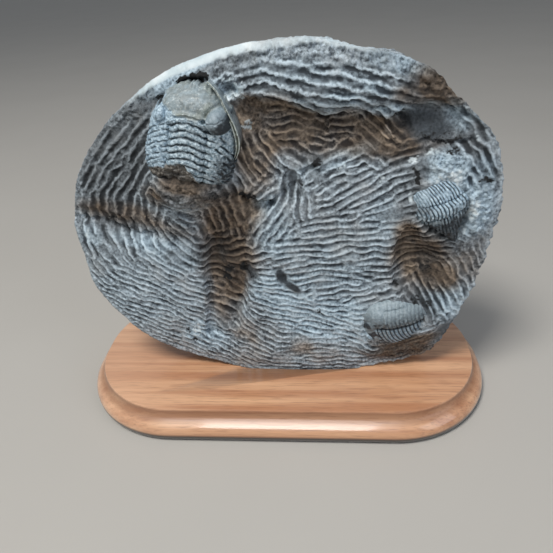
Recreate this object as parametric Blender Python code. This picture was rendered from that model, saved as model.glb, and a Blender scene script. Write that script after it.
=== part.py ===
"""Three trilobites in a hand-chiselled slab of dark limestone, standing in a wooden base.

Units are metres, +Z is up and the chiselled face looks towards -Y.  The origin is under the
middle of the base.  On the slab, places are given as (x, z) and relief as millimetres that
stand proud of the face's mean plane, which leans back a little.
"""

import math

import bmesh
import bpy
from mathutils import Vector, geometry, noise

MM = 0.001
GAP = 0.35 * MM  # clearance between pieces that touch

# Wooden base: a board with round ends and a moulded edge
BASE_HALF_WIDTH = 127.3 * MM  # of the flat top
BASE_HALF_DEPTH = 62.4 * MM
BASE_CORNER = 58.5 * MM
BASE_HEIGHT = 19.5 * MM
BASE_CORNER_STEPS = 8
BASE_EDGE_MM = (  # how far the edge stands out from the flat top, and its height
    (4.6, 0.0), (7.4, 3.0), (7.4, 7.0), (6.0, 10.4), (3.2, 13.3), (0.9, 14.6), (0.0, 16.2), (0.0, 19.5),
)

# Slab
FACE_FOOT_Y = -22.0 * MM  # mean plane of the chiselled face where it meets the base
FACE_LEAN = 0.0381  # metres back for each metre up
BACK_Y = 14.0 * MM
SLAB_CENTRE = (3.0, 121.0)  # mm, about the middle of the outline
SLAB_CELLS = 26  # across the face
SLAB_OUTLINE_MM = (  # clockwise from the top, seen from the front
    (20.4, 225.8), (46.3, 221.9), (66.7, 217.9), (84.6, 210.6), (97.6, 198.3), (111.8, 183.8),
    (124.8, 166.0), (129.1, 144.8), (127.4, 122.9), (123.9, 100.7), (118.1, 78.6), (108.8, 56.6),
    (98.6, 35.2), (77.4, 24.4), (58.0, 20.2), (48.0, 17.8), (24.8, 15.6), (-1.9, 15.2),
    (-30.0, 19.0), (-54.2, 25.9), (-78.4, 36.2), (-101.1, 57.6), (-116.0, 78.1), (-120.1, 102.2),
    (-122.0, 126.9), (-115.9, 151.0), (-103.7, 171.4), (-88.4, 187.3), (-62.8, 205.6),
    (-32.6, 217.4), (-2.2, 223.8),
)
SLAB_SWELL = (0.975, 0.992, 0.996, 0.997)  # outline at the back, on the two sides, at the face
SHOULDER_SWELL = 0.024  # how much further the sides reach at the upper left, where they were sawn
SHOULDER_DEGREES = 145.0
# Mounds and hollows of the face: x, z, half length, half height, turn in degrees, relief, all mm
FACE_FORMS_MM = (
    (-46.0, 166.0, 36.0, 46.0, -12.0, 6.5),  # mound that carries the large trilobite
    (96.0, 134.0, 27.0, 30.0, 0.0, 5.0),  # mound round the right trilobite
    (72.0, 54.0, 32.0, 25.0, 8.0, 5.0),  # mound and pedestal of the lower trilobite
    (25.0, 208.0, 70.0, 17.0, -3.0, 4.5),  # thick band left along the top
    (24.0, 178.0, 50.0, 14.0, 4.0, -6.5),  # brown hollow under that band
    (91.0, 181.0, 26.0, 12.0, -16.0, -6.0),  # smooth scoop of a flake broken off
    (-33.0, 98.0, 14.0, 46.0, 6.0, -6.5),  # hollow below the large trilobite
    (86.0, 92.0, 13.0, 26.0, 12.0, -7.0),  # hollow between the two small ones
    (-88.0, 82.0, 42.0, 46.0, 20.0, 3.5),  # swelling at the lower left
    (-101.0, 128.0, 34.0, 6.0, -16.0, -4.0),  # groove above that swelling
    (28.0, 122.0, 52.0, 38.0, 14.0, 3.0),  # swelling in the middle
    (12.0, 26.0, 52.0, 22.0, 0.0, 3.5),  # toe where the slab enters the base
    (99.0, 160.0, 15.0, 9.0, -10.0, 4.0),  # crushed lump above the right trilobite
    (118.0, 134.0, 9.0, 20.0, 6.0, 2.5),  # broken rim beside it
    (110.0, 66.0, 9.0, 20.0, -30.0, 3.0),  # ribbed rim at the lower right
)
RIM_DROP = 1.2  # mm that the face falls away along its rim
BACK_ROUGHNESS = 3.0  # mm
FACE_ROUGHNESS = 1.1  # mm

# Trilobites.  "place" is the middle of the fossil on the face, "turn" is how far the tail
# swings from straight down, counted towards +X.  Lengths are mm, stations run from 0 at the
# front of the head to 1 at the tail, and widths are shares of the half width.
LARGE = {
    "name": "trilobite_large", "place": (-42.0, 180.0), "turn": -12.6, "half_width": 25.2,
    "length": 58.0, "sunk": 4.0, "edge": 10.0, "arch": 0.5, "columns": 24,
    "head_end": 0.34, "tail_start": 0.86, "rings": 8, "rows_per_ring": 3,
    "head_rows": 12, "tail_rows": 4, "head_round": 17.0, "tail_round": 5.0, "ring_lag": 3.5,
    "widths": ((0.0, 0.80), (0.30, 0.92), (0.60, 1.0), (0.86, 0.97), (1.0, 0.86)),
    "crown": ((0.0, 6.0), (0.06, 13.0), (0.16, 19.5), (0.34, 19.5), (0.60, 22.0), (0.78, 23.0),
              (0.88, 19.0), (0.96, 9.0), (1.0, 2.0)),
    "axis_share": 0.38, "axis_rise": 2.6, "furrow": 1.3, "rib": 1.5,
    "glabella_share": 0.72, "glabella_rise": 2.6, "eye": (0.22, 0.66, 7.0, 6.0),
}
RIGHT = {
    "name": "trilobite_right", "place": (97.0, 132.0), "turn": 110.0, "half_width": 21.5,
    "length": 31.0, "sunk": 3.0, "edge": 5.0, "arch": 0.55, "columns": 16,
    "head_end": 0.14, "tail_start": 0.84, "rings": 10, "rows_per_ring": 2,
    "head_rows": 4, "tail_rows": 5, "head_round": 5.0, "tail_round": 5.0, "ring_lag": 2.0,
    "widths": ((0.0, 0.66), (0.25, 0.90), (0.50, 1.0), (0.78, 0.84), (1.0, 0.56)),
    "crown": ((0.0, 5.0), (0.12, 10.5), (0.40, 13.0), (0.75, 10.5), (1.0, 3.5)),
    "axis_share": 0.34, "axis_rise": 2.2, "furrow": 1.0, "rib": 1.0,
    "glabella_share": 0.6, "glabella_rise": 1.0, "eye": None,
}
LOWER = {
    "name": "trilobite_lower", "place": (72.0, 57.5), "turn": 98.0, "half_width": 16.5,
    "length": 41.0, "sunk": 3.0, "edge": 4.5, "arch": 0.55, "columns": 16,
    "head_end": 0.26, "tail_start": 0.82, "rings": 9, "rows_per_ring": 2,
    "head_rows": 6, "tail_rows": 5, "head_round": 9.0, "tail_round": 8.0, "ring_lag": 1.6,
    "widths": ((0.0, 0.84), (0.45, 1.0), (0.72, 0.88), (1.0, 0.58)),
    "crown": ((0.0, 5.0), (0.12, 10.0), (0.45, 12.0), (0.75, 9.5), (1.0, 3.5)),
    "axis_share": 0.36, "axis_rise": 2.0, "furrow": 1.2, "rib": 0.9,
    "glabella_share": 0.66, "glabella_rise": 1.4, "eye": (0.20, 0.66, 3.2, 2.4),
}
FOSSILS = (LARGE, RIGHT, LOWER)
BED_REACH = 60.0 * MM  # how far forward the beds are cut, past all the relief


def material(name, colour, roughness):
    """A Principled material of one linear colour."""
    made = bpy.data.materials.new(name)
    made.use_nodes = True
    shader = made.node_tree.nodes["Principled BSDF"]
    shader.inputs["Base Color"].default_value = (*colour, 1.0)
    shader.inputs["Roughness"].default_value = roughness
    shader.inputs["Metallic"].default_value = 0.0
    return made


def finish_mesh(bm, name, collection, surface=None, sharp_degrees=35.0):
    """Turn a closed bmesh into a named object with its faces pointing out."""
    bmesh.ops.recalc_face_normals(bm, faces=bm.faces)
    mesh = bpy.data.meshes.new(name)
    bm.to_mesh(mesh)
    bm.free()
    mesh.shade_smooth()
    mesh.set_sharp_from_angle(angle=math.radians(sharp_degrees))
    made = bpy.data.objects.new(name, mesh)
    collection.objects.link(made)
    if surface is not None:
        mesh.materials.append(surface)
    return made


def as_cutter(made):
    """Keep a tool solid out of sight."""
    made.hide_render = True
    made.display_type = "WIRE"
    return made


def cut(target, cutter, name, solver="EXACT"):
    """Take the cutter's form out of the target."""
    boolean = target.modifiers.new(name, "BOOLEAN")
    boolean.operation = "DIFFERENCE"
    boolean.solver = solver
    boolean.object = cutter


def smooth_step(low, high, value):
    share = min(1.0, max(0.0, (value - low) / (high - low)))
    return share * share * (3.0 - 2.0 * share)


def along_stations(stations, value):
    """Read a smooth curve through (place, value) pairs."""
    for (start, low), (end, high) in zip(stations, stations[1:]):
        if value <= end:
            return low + (high - low) * smooth_step(start, end, value)
    return stations[-1][1]


# ---------------------------------------------------------------- wooden base


def base_ring(stand_out, height):
    """One round of the board's edge: a rounded rectangle, anticlockwise from above."""
    ring = []
    radius = BASE_CORNER + stand_out
    for corner, (side_x, side_y) in enumerate(((1, 1), (-1, 1), (-1, -1), (1, -1))):
        middle_x = side_x * (BASE_HALF_WIDTH - BASE_CORNER)
        middle_y = side_y * (BASE_HALF_DEPTH - BASE_CORNER)
        for step in range(BASE_CORNER_STEPS + 1):
            angle = math.radians(90.0 * (corner + step / BASE_CORNER_STEPS))
            x = middle_x + radius * math.cos(angle)
            y = middle_y + radius * math.sin(angle)
            ring.append(Vector((x, y, height)))
    return ring


def build_base(collection, surface):
    """Loft the moulded edge and close it with the two flat faces."""
    bm = bmesh.new()
    rings = []
    for stand_out, height in BASE_EDGE_MM:
        ring = base_ring(stand_out * MM, height * MM)
        rings.append([bm.verts.new(place) for place in ring])
    count = len(rings[0])
    for lower, upper in zip(rings, rings[1:]):
        for index in range(count):
            following = (index + 1) % count
            bm.faces.new((lower[index], lower[following], upper[following], upper[index]))
    bm.faces.new(rings[0][::-1])
    bm.faces.new(rings[-1])
    return finish_mesh(bm, "wooden_base", collection, surface)


# ---------------------------------------------------------------- slab


def outline_radii():
    """The outline as (angle, distance) pairs round the slab's middle, by rising angle."""
    centre_x, centre_z = SLAB_CENTRE
    pairs = []
    for x, z in SLAB_OUTLINE_MM:
        angle = math.atan2(z - centre_z, x - centre_x) % math.tau
        pairs.append((angle, math.hypot(x - centre_x, z - centre_z)))
    return sorted(pairs)


RADII = outline_radii()


def outline_distance(angle):
    """Distance from the middle to the outline, on a smooth closed curve."""
    angle %= math.tau
    count = len(RADII)
    index = 0
    while index < count and RADII[index][0] <= angle:
        index += 1
    four = [RADII[(index + shift) % count] for shift in (-2, -1, 0, 1)]
    start = four[1][0]
    span = (four[2][0] - start) % math.tau
    share = ((angle - start) % math.tau) / span
    before, low, high, after = (radius for _, radius in four)
    slope_low = (high - before) / 2.0
    slope_high = (after - low) / 2.0
    square = share * share
    cube = square * share
    return (low * (2 * cube - 3 * square + 1) + slope_low * (cube - 2 * square + share)
            + high * (3 * square - 2 * cube) + slope_high * (cube - square))


def disc_place(a, b):
    """Carry a point of the square -1..1 to (x, z, share of the way to the rim) in mm."""
    if abs(a) < 1e-9 and abs(b) < 1e-9:
        return (*SLAB_CENTRE, 0.0)
    if abs(a) > abs(b):
        reach, angle = a, math.pi / 4.0 * b / a
    else:
        reach, angle = b, math.pi / 2.0 - math.pi / 4.0 * a / b
    if reach < 0.0:
        reach, angle = -reach, angle + math.pi
    distance = reach * outline_distance(angle)
    x = SLAB_CENTRE[0] + distance * math.cos(angle)
    z = SLAB_CENTRE[1] + distance * math.sin(angle)
    return x, z, reach


def face_plane_y(z):
    """Y of the face's mean plane at a height in mm, in metres."""
    return FACE_FOOT_Y + FACE_LEAN * (z * MM - BASE_HEIGHT)


def face_relief(x, z):
    """How far the chiselled face stands proud of its mean plane, in mm."""
    relief = 0.0
    for form_x, form_z, half_length, half_height, turn, height in FACE_FORMS_MM:
        cosine = math.cos(math.radians(turn))
        sine = math.sin(math.radians(turn))
        away_x = ((x - form_x) * cosine + (z - form_z) * sine) / half_length
        away_z = ((z - form_z) * cosine - (x - form_x) * sine) / half_height
        relief += height * (1.0 - smooth_step(0.45, 1.25, math.hypot(away_x, away_z)))
    return relief + FACE_ROUGHNESS * noise.noise(Vector((x / 13.0, z / 9.0, 2.0)))


def slab_point(a, b, layer):
    """A point of the slab; layers run from the back face to the front face."""
    x, z, reach = disc_place(a, b)
    bearing = math.atan2(z - SLAB_CENTRE[1], x - SLAB_CENTRE[0]) - math.radians(SHOULDER_DEGREES)
    swell = SLAB_SWELL[layer]
    if layer < 3 and abs(bearing) < math.pi / 3.0:
        swell += SHOULDER_SWELL * math.cos(1.5 * bearing)
    wobble = 0.9 * noise.noise(Vector((x / 17.0, z / 17.0, 7.0 + 3.0 * layer))) * reach
    x = SLAB_CENTRE[0] + (x - SLAB_CENTRE[0]) * swell + wobble
    z = SLAB_CENTRE[1] + (z - SLAB_CENTRE[1]) * swell + wobble
    rough = BACK_ROUGHNESS * noise.noise(Vector((x / 34.0, z / 34.0, 11.0)))
    back = BACK_Y + rough * MM
    front = face_plane_y(z)
    if layer == 0:
        y = back
    elif layer == 1:
        y = back - 4.0 * MM
    elif layer == 2:
        y = front - (face_relief(x, z) * 0.6 - 3.0) * MM
    else:
        drop = RIM_DROP * smooth_step(0.9, 1.0, reach)
        y = front - (face_relief(x, z) * (1.0 - 0.4 * reach ** 6) - drop) * MM
    return Vector((x * MM, y, z * MM))


def build_slab(collection, name, surface=None, grow=0.0):
    """A grid drawn out to the outline for the back, then extruded forward to the face."""
    bm = bmesh.new()
    across = bm.verts.layers.float.new("across")
    upward = bm.verts.layers.float.new("upward")
    bmesh.ops.create_grid(bm, x_segments=SLAB_CELLS, y_segments=SLAB_CELLS, size=1.0)
    for vertex in bm.verts:
        vertex[across], vertex[upward] = vertex.co.x, vertex.co.y
        vertex.co = slab_point(vertex[across], vertex[upward], 0)
    cap = list(bm.faces)
    for layer in (1, 2, 3):
        extruded = bmesh.ops.extrude_face_region(bm, geom=cap, use_keep_orig=True)["geom"]
        if layer > 1:
            bmesh.ops.delete(bm, geom=cap, context="FACES")
        for item in extruded:
            if isinstance(item, bmesh.types.BMVert):
                item.co = slab_point(item[across], item[upward], layer)
        cap = [item for item in extruded if isinstance(item, bmesh.types.BMFace)]
    bmesh.ops.triangulate(bm, faces=bm.faces)
    if grow:
        bmesh.ops.recalc_face_normals(bm, faces=bm.faces)
        bm.normal_update()
        for vertex, normal in [(vertex, vertex.normal.copy()) for vertex in bm.verts]:
            vertex.co += normal * grow
    return finish_mesh(bm, name, collection, surface)


# ---------------------------------------------------------------- trilobites


def stations_of(fossil):
    """Stations of the rows of faces, closer on the ribs than on the head."""
    head = [fossil["head_end"] * row / fossil["head_rows"] for row in range(fossil["head_rows"])]
    ribbed = fossil["rings"] * fossil["rows_per_ring"]
    span = fossil["tail_start"] - fossil["head_end"]
    thorax = [fossil["head_end"] + span * row / ribbed for row in range(ribbed)]
    left = 1.0 - fossil["tail_start"]
    tail = [fossil["tail_start"] + left * row / fossil["tail_rows"]
            for row in range(fossil["tail_rows"] + 1)]
    return head + thorax + tail


def back_height(fossil, station, side):
    """Height of the shell above its sunken base, in mm; side runs from -1 to 1."""
    away = abs(side)
    vault = (1.0 - away ** 2.6) ** fossil["arch"]
    crown = along_stations(fossil["crown"], station)
    edge = min(fossil["edge"], crown)
    height = edge + (crown - edge) * vault
    fade = smooth_step(0.0, 0.08, station) * smooth_step(1.0, 0.9, station)
    if station < fossil["head_end"]:
        behind = station / fossil["head_end"]
        share = fossil["glabella_share"] * (1.0 - 0.42 * behind ** 1.5)
        dome = max(0.0, 1.0 - (away / share) ** 2) ** 0.5
        occipital = 1.0 - 0.9 * math.exp(-((behind - 0.86) / 0.07) ** 2)
        height += fossil["glabella_rise"] * dome * fade * occipital
    else:
        share = fossil["axis_share"] * (1.0 - 0.35 * smooth_step(0.5, 1.0, station))
        dome = max(0.0, 1.0 - (away / share) ** 2) ** 0.5
        height += fossil["axis_rise"] * dome * fade
        height -= fossil["furrow"] * math.exp(-((away - share) / 0.07) ** 2) * fade
        span = fossil["tail_start"] - fossil["head_end"]
        turn = (station - fossil["head_end"]) / span * fossil["rings"]
        ridge = abs(math.sin(math.pi * turn)) ** 0.8
        weight = 1.0 if station <= fossil["tail_start"] else 0.5
        height += fossil["rib"] * (ridge - 0.5) * weight * fade * (1.0 - 0.5 * away ** 4)
    if fossil["eye"]:
        eye_station, eye_side, radius, rise = fossil["eye"]
        along = (station - eye_station) * fossil["length"] / radius
        across = (away - eye_side) * fossil["half_width"] / radius
        height += rise * max(0.0, 1.0 - along ** 2 - across ** 2) ** 0.6
    return height


def fossil_point(fossil, station, side):
    """A point of a trilobite's back in metres."""
    half = fossil["half_width"] * along_stations(fossil["widths"], station)
    bend = 1.0 - math.sqrt(1.0 - 0.96 * side * side)
    if station < fossil["head_end"]:
        share = smooth_step(0.0, fossil["head_end"], station)
        lag = fossil["head_round"] * (1.0 - share) + fossil["ring_lag"] * share
    else:
        share = smooth_step(fossil["head_end"], 1.0, station) ** 2
        lag = fossil["ring_lag"] * (1.0 - share) - fossil["tail_round"] * share
    down = fossil["length"] * (station - 0.5) + lag * bend
    across = half * side
    swing = math.radians(fossil["turn"])
    x = fossil["place"][0] + across * math.cos(swing) + down * math.sin(swing)
    z = fossil["place"][1] + across * math.sin(swing) - down * math.cos(swing)
    y = seat_y(fossil) - back_height(fossil, station, side) * MM
    return Vector((x * MM, y, z * MM))


def seat_y(fossil):
    """Y of the flat bed that the fossil's base lies on."""
    return face_plane_y(fossil["place"][1]) + fossil["sunk"] * MM


def build_fossil(fossil, collection, surface):
    """A grid bent to the shell, closed behind by a flat base."""
    rows = stations_of(fossil)
    bm = bmesh.new()
    bmesh.ops.create_grid(bm, x_segments=fossil["columns"], y_segments=len(rows) - 1, size=1.0)
    for vertex in bm.verts:
        row = round((1.0 - vertex.co.y) / 2.0 * (len(rows) - 1))
        vertex.co = fossil_point(fossil, rows[row], vertex.co.x)
    rim = [edge for edge in bm.edges if edge.is_boundary]
    extruded = bmesh.ops.extrude_edge_only(bm, edges=rim)["geom"]
    for item in extruded:
        if isinstance(item, bmesh.types.BMVert):
            item.co.y = seat_y(fossil) - GAP
    rim = [item for item in extruded if isinstance(item, bmesh.types.BMEdge)]
    bmesh.ops.contextual_create(bm, geom=rim)
    bmesh.ops.triangulate(bm, faces=bm.faces)
    return finish_mesh(bm, fossil["name"], collection, surface)


def fossil_footprint(fossil):
    """The smallest convex outline round the fossil, in order, as (x, z) in metres."""
    plan = []
    for station in stations_of(fossil):
        for column in range(fossil["columns"] + 1):
            point = fossil_point(fossil, station, 2.0 * column / fossil["columns"] - 1.0)
            plan.append(Vector((point.x, point.z)))
    return [plan[index] for index in geometry.convex_hull_2d(plan)]


def build_beds(collection):
    """The beds that the fossils lie in: their outlines, a little larger, cut straight back."""
    bm = bmesh.new()
    for fossil in FOSSILS:
        rim = fossil_footprint(fossil)
        middle = sum(rim, Vector((0.0, 0.0))) / len(rim)
        ring = []
        for index, point in enumerate(rim):
            tangent = (rim[(index + 1) % len(rim)] - rim[index - 1]).normalized()
            outward = Vector((tangent.y, -tangent.x))
            if outward.dot(point - middle) < 0.0:
                outward = -outward
            place = point + outward * GAP * 1.3
            ring.append(bm.verts.new((place.x, seat_y(fossil), place.y)))
        extruded = bmesh.ops.extrude_face_region(bm, geom=[bm.faces.new(ring)])["geom"]
        for item in extruded:
            if isinstance(item, bmesh.types.BMVert):
                item.co.y = seat_y(fossil) - BED_REACH
    return as_cutter(finish_mesh(bm, "fossil_beds", collection))


def build_all():
    for old in list(bpy.data.objects):
        bpy.data.objects.remove(old, do_unlink=True)
    pieces = bpy.data.collections.new("fossil_trilobites")
    cutters = bpy.data.collections.new("cutters")
    bpy.context.scene.collection.children.link(pieces)
    bpy.context.scene.collection.children.link(cutters)

    limestone = material("chiselled_limestone", (0.145, 0.160, 0.172), 0.85)
    shell = material("fossil_shell", (0.118, 0.142, 0.152), 0.60)
    wood = material("lacquered_wood", (0.480, 0.222, 0.112), 0.35)

    slab = build_slab(pieces, "matrix_slab", limestone)
    base = build_base(pieces, wood)
    foot = as_cutter(build_slab(cutters, "slab_foot", grow=1.3 * GAP))
    cut(base, foot, "seat_for_slab")
    cut(slab, build_beds(cutters), "beds_for_fossils", solver="MANIFOLD")
    for fossil in FOSSILS:
        build_fossil(fossil, pieces, shell)


build_all()
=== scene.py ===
import math

import bmesh
import bpy
import numpy as np
from mathutils import Matrix, Vector, noise


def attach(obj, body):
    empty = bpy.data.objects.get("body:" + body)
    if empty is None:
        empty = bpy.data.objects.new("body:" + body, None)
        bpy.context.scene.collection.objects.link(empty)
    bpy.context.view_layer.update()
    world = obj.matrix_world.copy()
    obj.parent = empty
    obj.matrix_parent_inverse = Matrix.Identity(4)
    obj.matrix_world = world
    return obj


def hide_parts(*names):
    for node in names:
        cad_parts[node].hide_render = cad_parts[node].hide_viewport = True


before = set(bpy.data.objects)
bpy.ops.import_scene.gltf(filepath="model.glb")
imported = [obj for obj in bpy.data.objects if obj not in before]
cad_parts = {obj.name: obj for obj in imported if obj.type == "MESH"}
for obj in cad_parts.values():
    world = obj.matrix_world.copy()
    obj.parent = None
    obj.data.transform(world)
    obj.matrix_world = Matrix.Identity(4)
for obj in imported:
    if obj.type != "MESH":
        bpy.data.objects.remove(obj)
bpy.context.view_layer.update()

# ---------------------------------------------------------------- camera
# A camera a hand's breadth above the piece, in front of its right half, looking down at it by
# 28 degrees with a slight roll.  The lens is shifted, so its axis meets the frame off the middle.
MM = 0.001
CAMERA_PLACE_MM = (27.5, -303.4, 265.0)
CAMERA_RIGHT = (0.99634, 0.06787, -0.05203)
CAMERA_UP = (0.01441, 0.46650, 0.88441)

camera_data = bpy.data.cameras.new("camera")
camera_data.sensor_width = 36.0
camera_data.lens = 35.12
camera_data.shift_y = -0.0687
camera_data.clip_start = 0.01
camera = bpy.data.objects.new("camera", camera_data)
bpy.context.scene.collection.objects.link(camera)
camera_axes = Matrix((CAMERA_RIGHT, CAMERA_UP, Vector(CAMERA_RIGHT).cross(Vector(CAMERA_UP))))
camera.matrix_world = (
    Matrix.Translation(Vector(CAMERA_PLACE_MM) * MM) @ camera_axes.transposed().to_4x4()
)
bpy.context.scene.camera = camera

# ---------------------------------------------------------------- studio
# A plain pale floor and soft light: a high key from the left front, a weak fill from the right,
# and a bright window high in front that shows only as a reflection in the base's lacquer.
FLOOR_HALF = 20.0  # metres
SKY_GLOW = 0.30


def linear(text):
    """An sRGB hex colour as a linear RGBA tuple."""
    channels = [int(text[start:start + 2], 16) / 255.0 for start in (0, 2, 4)]
    return tuple(c / 12.92 if c <= 0.04045 else ((c + 0.055) / 1.055) ** 2.4
                 for c in channels) + (1.0,)


def add_node(tree, kind, feeds=None, out=0, **settings):
    """Add a node and return one of its outputs; settings are the node's own properties.

    feeds fill its sockets with values, hex colours or the outputs of other nodes."""
    made = tree.nodes.new(kind)
    for name, value in settings.items():
        setattr(made, name, value)
    for socket, value in (feeds or {}).items():
        if isinstance(value, bpy.types.NodeSocket):
            tree.links.new(value, made.inputs[socket])
        elif made.inputs[socket].type == "RGBA":
            made.inputs[socket].default_value = linear(value)
        else:
            made.inputs[socket].default_value = value
    return made.outputs[out]


def new_material(name, **constants):
    """A Principled material: its tree and shader, with constants set on the shader's sockets."""
    made = bpy.data.materials.new(name)
    made.use_nodes = True
    shader = made.node_tree.nodes["Principled BSDF"]
    for socket, value in constants.items():
        shader.inputs[socket.replace("_", " ")].default_value = value
    return made, made.node_tree, shader


def soft_box(name, place, target, size, watts, colour):
    """A rectangular area light that faces a target; places are metres."""
    data = bpy.data.lights.new(name, "AREA")
    data.shape = "RECTANGLE"
    data.size, data.size_y = size
    data.energy = watts
    data.color = linear(colour)[:3]
    light = bpy.data.objects.new(name, data)
    light.location = place
    light.rotation_euler = (Vector(target) - Vector(place)).to_track_quat("-Z", "Y").to_euler()
    bpy.context.scene.collection.objects.link(light)
    return light


world = bpy.data.worlds.new("studio")
world.use_nodes = True
world.node_tree.nodes["Background"].inputs["Color"].default_value = linear("dfe6ee")
world.node_tree.nodes["Background"].inputs["Strength"].default_value = SKY_GLOW
bpy.context.scene.world = world
bpy.context.scene.view_settings.view_transform = "Standard"
soft_box("key", (-0.42, -0.62, 1.50), (0.0, 0.0, 0.11), (0.50, 0.50), 20.0, "fffdf8")
soft_box("fill", (0.85, -0.55, 0.45), (0.0, 0.0, 0.10), (0.6, 0.6), 2.2, "eef4ff")
window = soft_box("window", (-0.05, -0.67, 0.81), (0.0, -0.07, 0.01), (0.44, 0.60), 7.8, "ffffff")
window.visible_diffuse = False  # seen only as a reflection in the lacquer

# Painted board: matt and nearly even, so that only soft shadows show on it.
floor_material, tree, shader = new_material("painted_floor", Roughness=0.75)
coordinates = add_node(tree, "ShaderNodeTexCoord", out="Object")
mottle = add_node(tree, "ShaderNodeTexNoise",
                  {"Vector": coordinates, "Scale": 6.0, "Detail": 3.0}, "Fac")
tone = add_node(tree, "ShaderNodeValToRGB", {"Fac": mottle})
for end, colour in enumerate(("b9b5af", "c0bcb6")):
    tone.node.color_ramp.elements[end].color = linear(colour)
tree.links.new(tone, shader.inputs["Base Color"])
floor_mesh = bpy.data.meshes.new("floor")
floor_mesh.from_pydata(
    [(-FLOOR_HALF, -FLOOR_HALF, 0), (FLOOR_HALF, -FLOOR_HALF, 0),
     (FLOOR_HALF, FLOOR_HALF, 0), (-FLOOR_HALF, FLOOR_HALF, 0)], [], [(0, 1, 2, 3)])
floor_mesh.materials.append(floor_material)
floor = bpy.data.objects.new("floor", floor_mesh)
bpy.context.scene.collection.objects.link(floor)

# ---------------------------------------------------------------- limestone slab
# A split slab of dark limestone, about 40 mm thick, sawn along its upper left edge and broken
# elsewhere.  Its face was worked down round the fossils with a narrow chisel, which left rows
# of short scalloped strokes with bruised, whitish crests between them.
SLAB_CENTRE = (3.0, 121.0)  # mm, as all places on the slab: x and z
FACE_FOOT_Y = -22.0
FACE_LEAN = 0.0381  # mm back for each mm up
BACK_Y = 14.0
BASE_HEIGHT = 19.5
SLAB_OUTLINE = (  # clockwise from the top
    (20.4, 225.8), (46.3, 221.9), (66.7, 217.9), (84.6, 210.6), (97.6, 198.3), (111.8, 183.8),
    (124.8, 166.0), (129.1, 144.8), (127.4, 122.9), (123.9, 100.7), (118.1, 78.6), (108.8, 56.6),
    (98.6, 35.2), (77.4, 24.4), (58.0, 20.2), (48.0, 17.8), (24.8, 15.6), (-1.9, 15.2),
    (-30.0, 19.0), (-54.2, 25.9), (-78.4, 36.2), (-101.1, 57.6), (-116.0, 78.1), (-120.1, 102.2),
    (-122.0, 126.9), (-115.9, 151.0), (-103.7, 171.4), (-88.4, 187.3), (-62.8, 205.6),
    (-32.6, 217.4), (-2.2, 223.8),
)
SWELL_DEPTHS = (0.0, 0.08, 0.88, 1.0)  # shares of the thickness, from the face to the back
SLAB_SWELL = (0.997, 0.994, 0.968, 0.955)  # the outline's size at those depths
SHOULDER_SWELL = 0.024  # how much further the sides reach at the upper left
SHOULDER_DEGREES = 145.0
SAWN_SWELL = 0.030  # how much further the sawn top edge reaches, just behind the face
SAWN_DEGREES = 104.0
SAWN_SPREAD = (92.0, 99.0, 128.0, 140.0)  # degrees where the cut shows, is clean, fades, is gone
FRONT_CELLS = 280
BACK_CELLS = 70
SIDE_RINGS = 12
BREAK_ROUGHNESS = 1.4
RIM_EASE = 0.4  # how much of the relief is gone at the rim
# Mounds and hollows: x, z, half length, half height, turn in degrees, relief
FACE_FORMS = (
    (-46, 166, 36, 46, -12, 6.5), (96, 134, 27, 30, 0, 5.0), (72, 54, 32, 25, 8, 5.0),
    (25, 208, 70, 17, -3, 4.5), (24, 178, 50, 14, 4, -6.5), (91, 181, 26, 12, -16, -6.0),
    (-33, 98, 14, 46, 6, -6.5), (86, 92, 13, 26, 12, -7.0), (-88, 82, 42, 46, 20, 3.5),
    (-101, 128, 34, 6, -16, -4.0), (28, 122, 52, 38, 14, 3.0), (12, 26, 52, 22, 0, 3.5),
    (99, 160, 15, 9, -10, 4.0), (118, 134, 9, 20, 6, 2.5), (110, 66, 9, 20, -30, 3.0),
)
# Smaller lumps and pits, among them the rough skirt below the large fossil
SMALL_FORMS = (
    (-40, 207.5, 9, 3.0, 8, -5.0), (-21, 204, 4.2, 4.2, 0, -3.0), (-52, 208, 16, 4, 25, 2.0),
    (-17.5, 200.5, 4, 1.8, -35, 1.6), (-48, 151, 20, 14, -12, 9.0),
    (-60, 151, 20, 12, -8, 3.0), (-60, 128, 16, 8, -30, 1.5), (-20, 203, 5.0, 4.5, 0, -3.2),
    (-21, 203, 8.5, 7.5, 0, 1.6), (-8, 136, 9, 4, 25, -2.6), (-12, 149, 8, 6, 20, 2.2),
    (21, 156, 5, 4, 0, -2.6), (11, 153, 4, 6, 0, -2.2), (-17, 90, 5, 7, 10, -3.2),
    (4, 87, 5, 4, -20, -2.2), (86, 99, 9, 6, 10, -2.4), (22, 168, 8, 3, 15, 1.5),
    (47, 171, 3, 8, 35, 1.3), (60, 168, 3, 9, 0, -2.0), (66, 186, 6, 4, 30, 2.0),
    (30, 47, 4, 3, 0, -1.8), (-33, 42, 4, 7, 10, -1.6), (88, 150, 7, 4, 30, 1.8),
    (79, 141, 6, 4, 0, -2.0), (105, 142, 6, 12, 20, 1.5), (112, 118, 7, 10, 0, 1.4),
    (100, 60, 7, 9, -30, 1.0), (56, 35, 9, 4, -10, 1.6),
)
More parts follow.
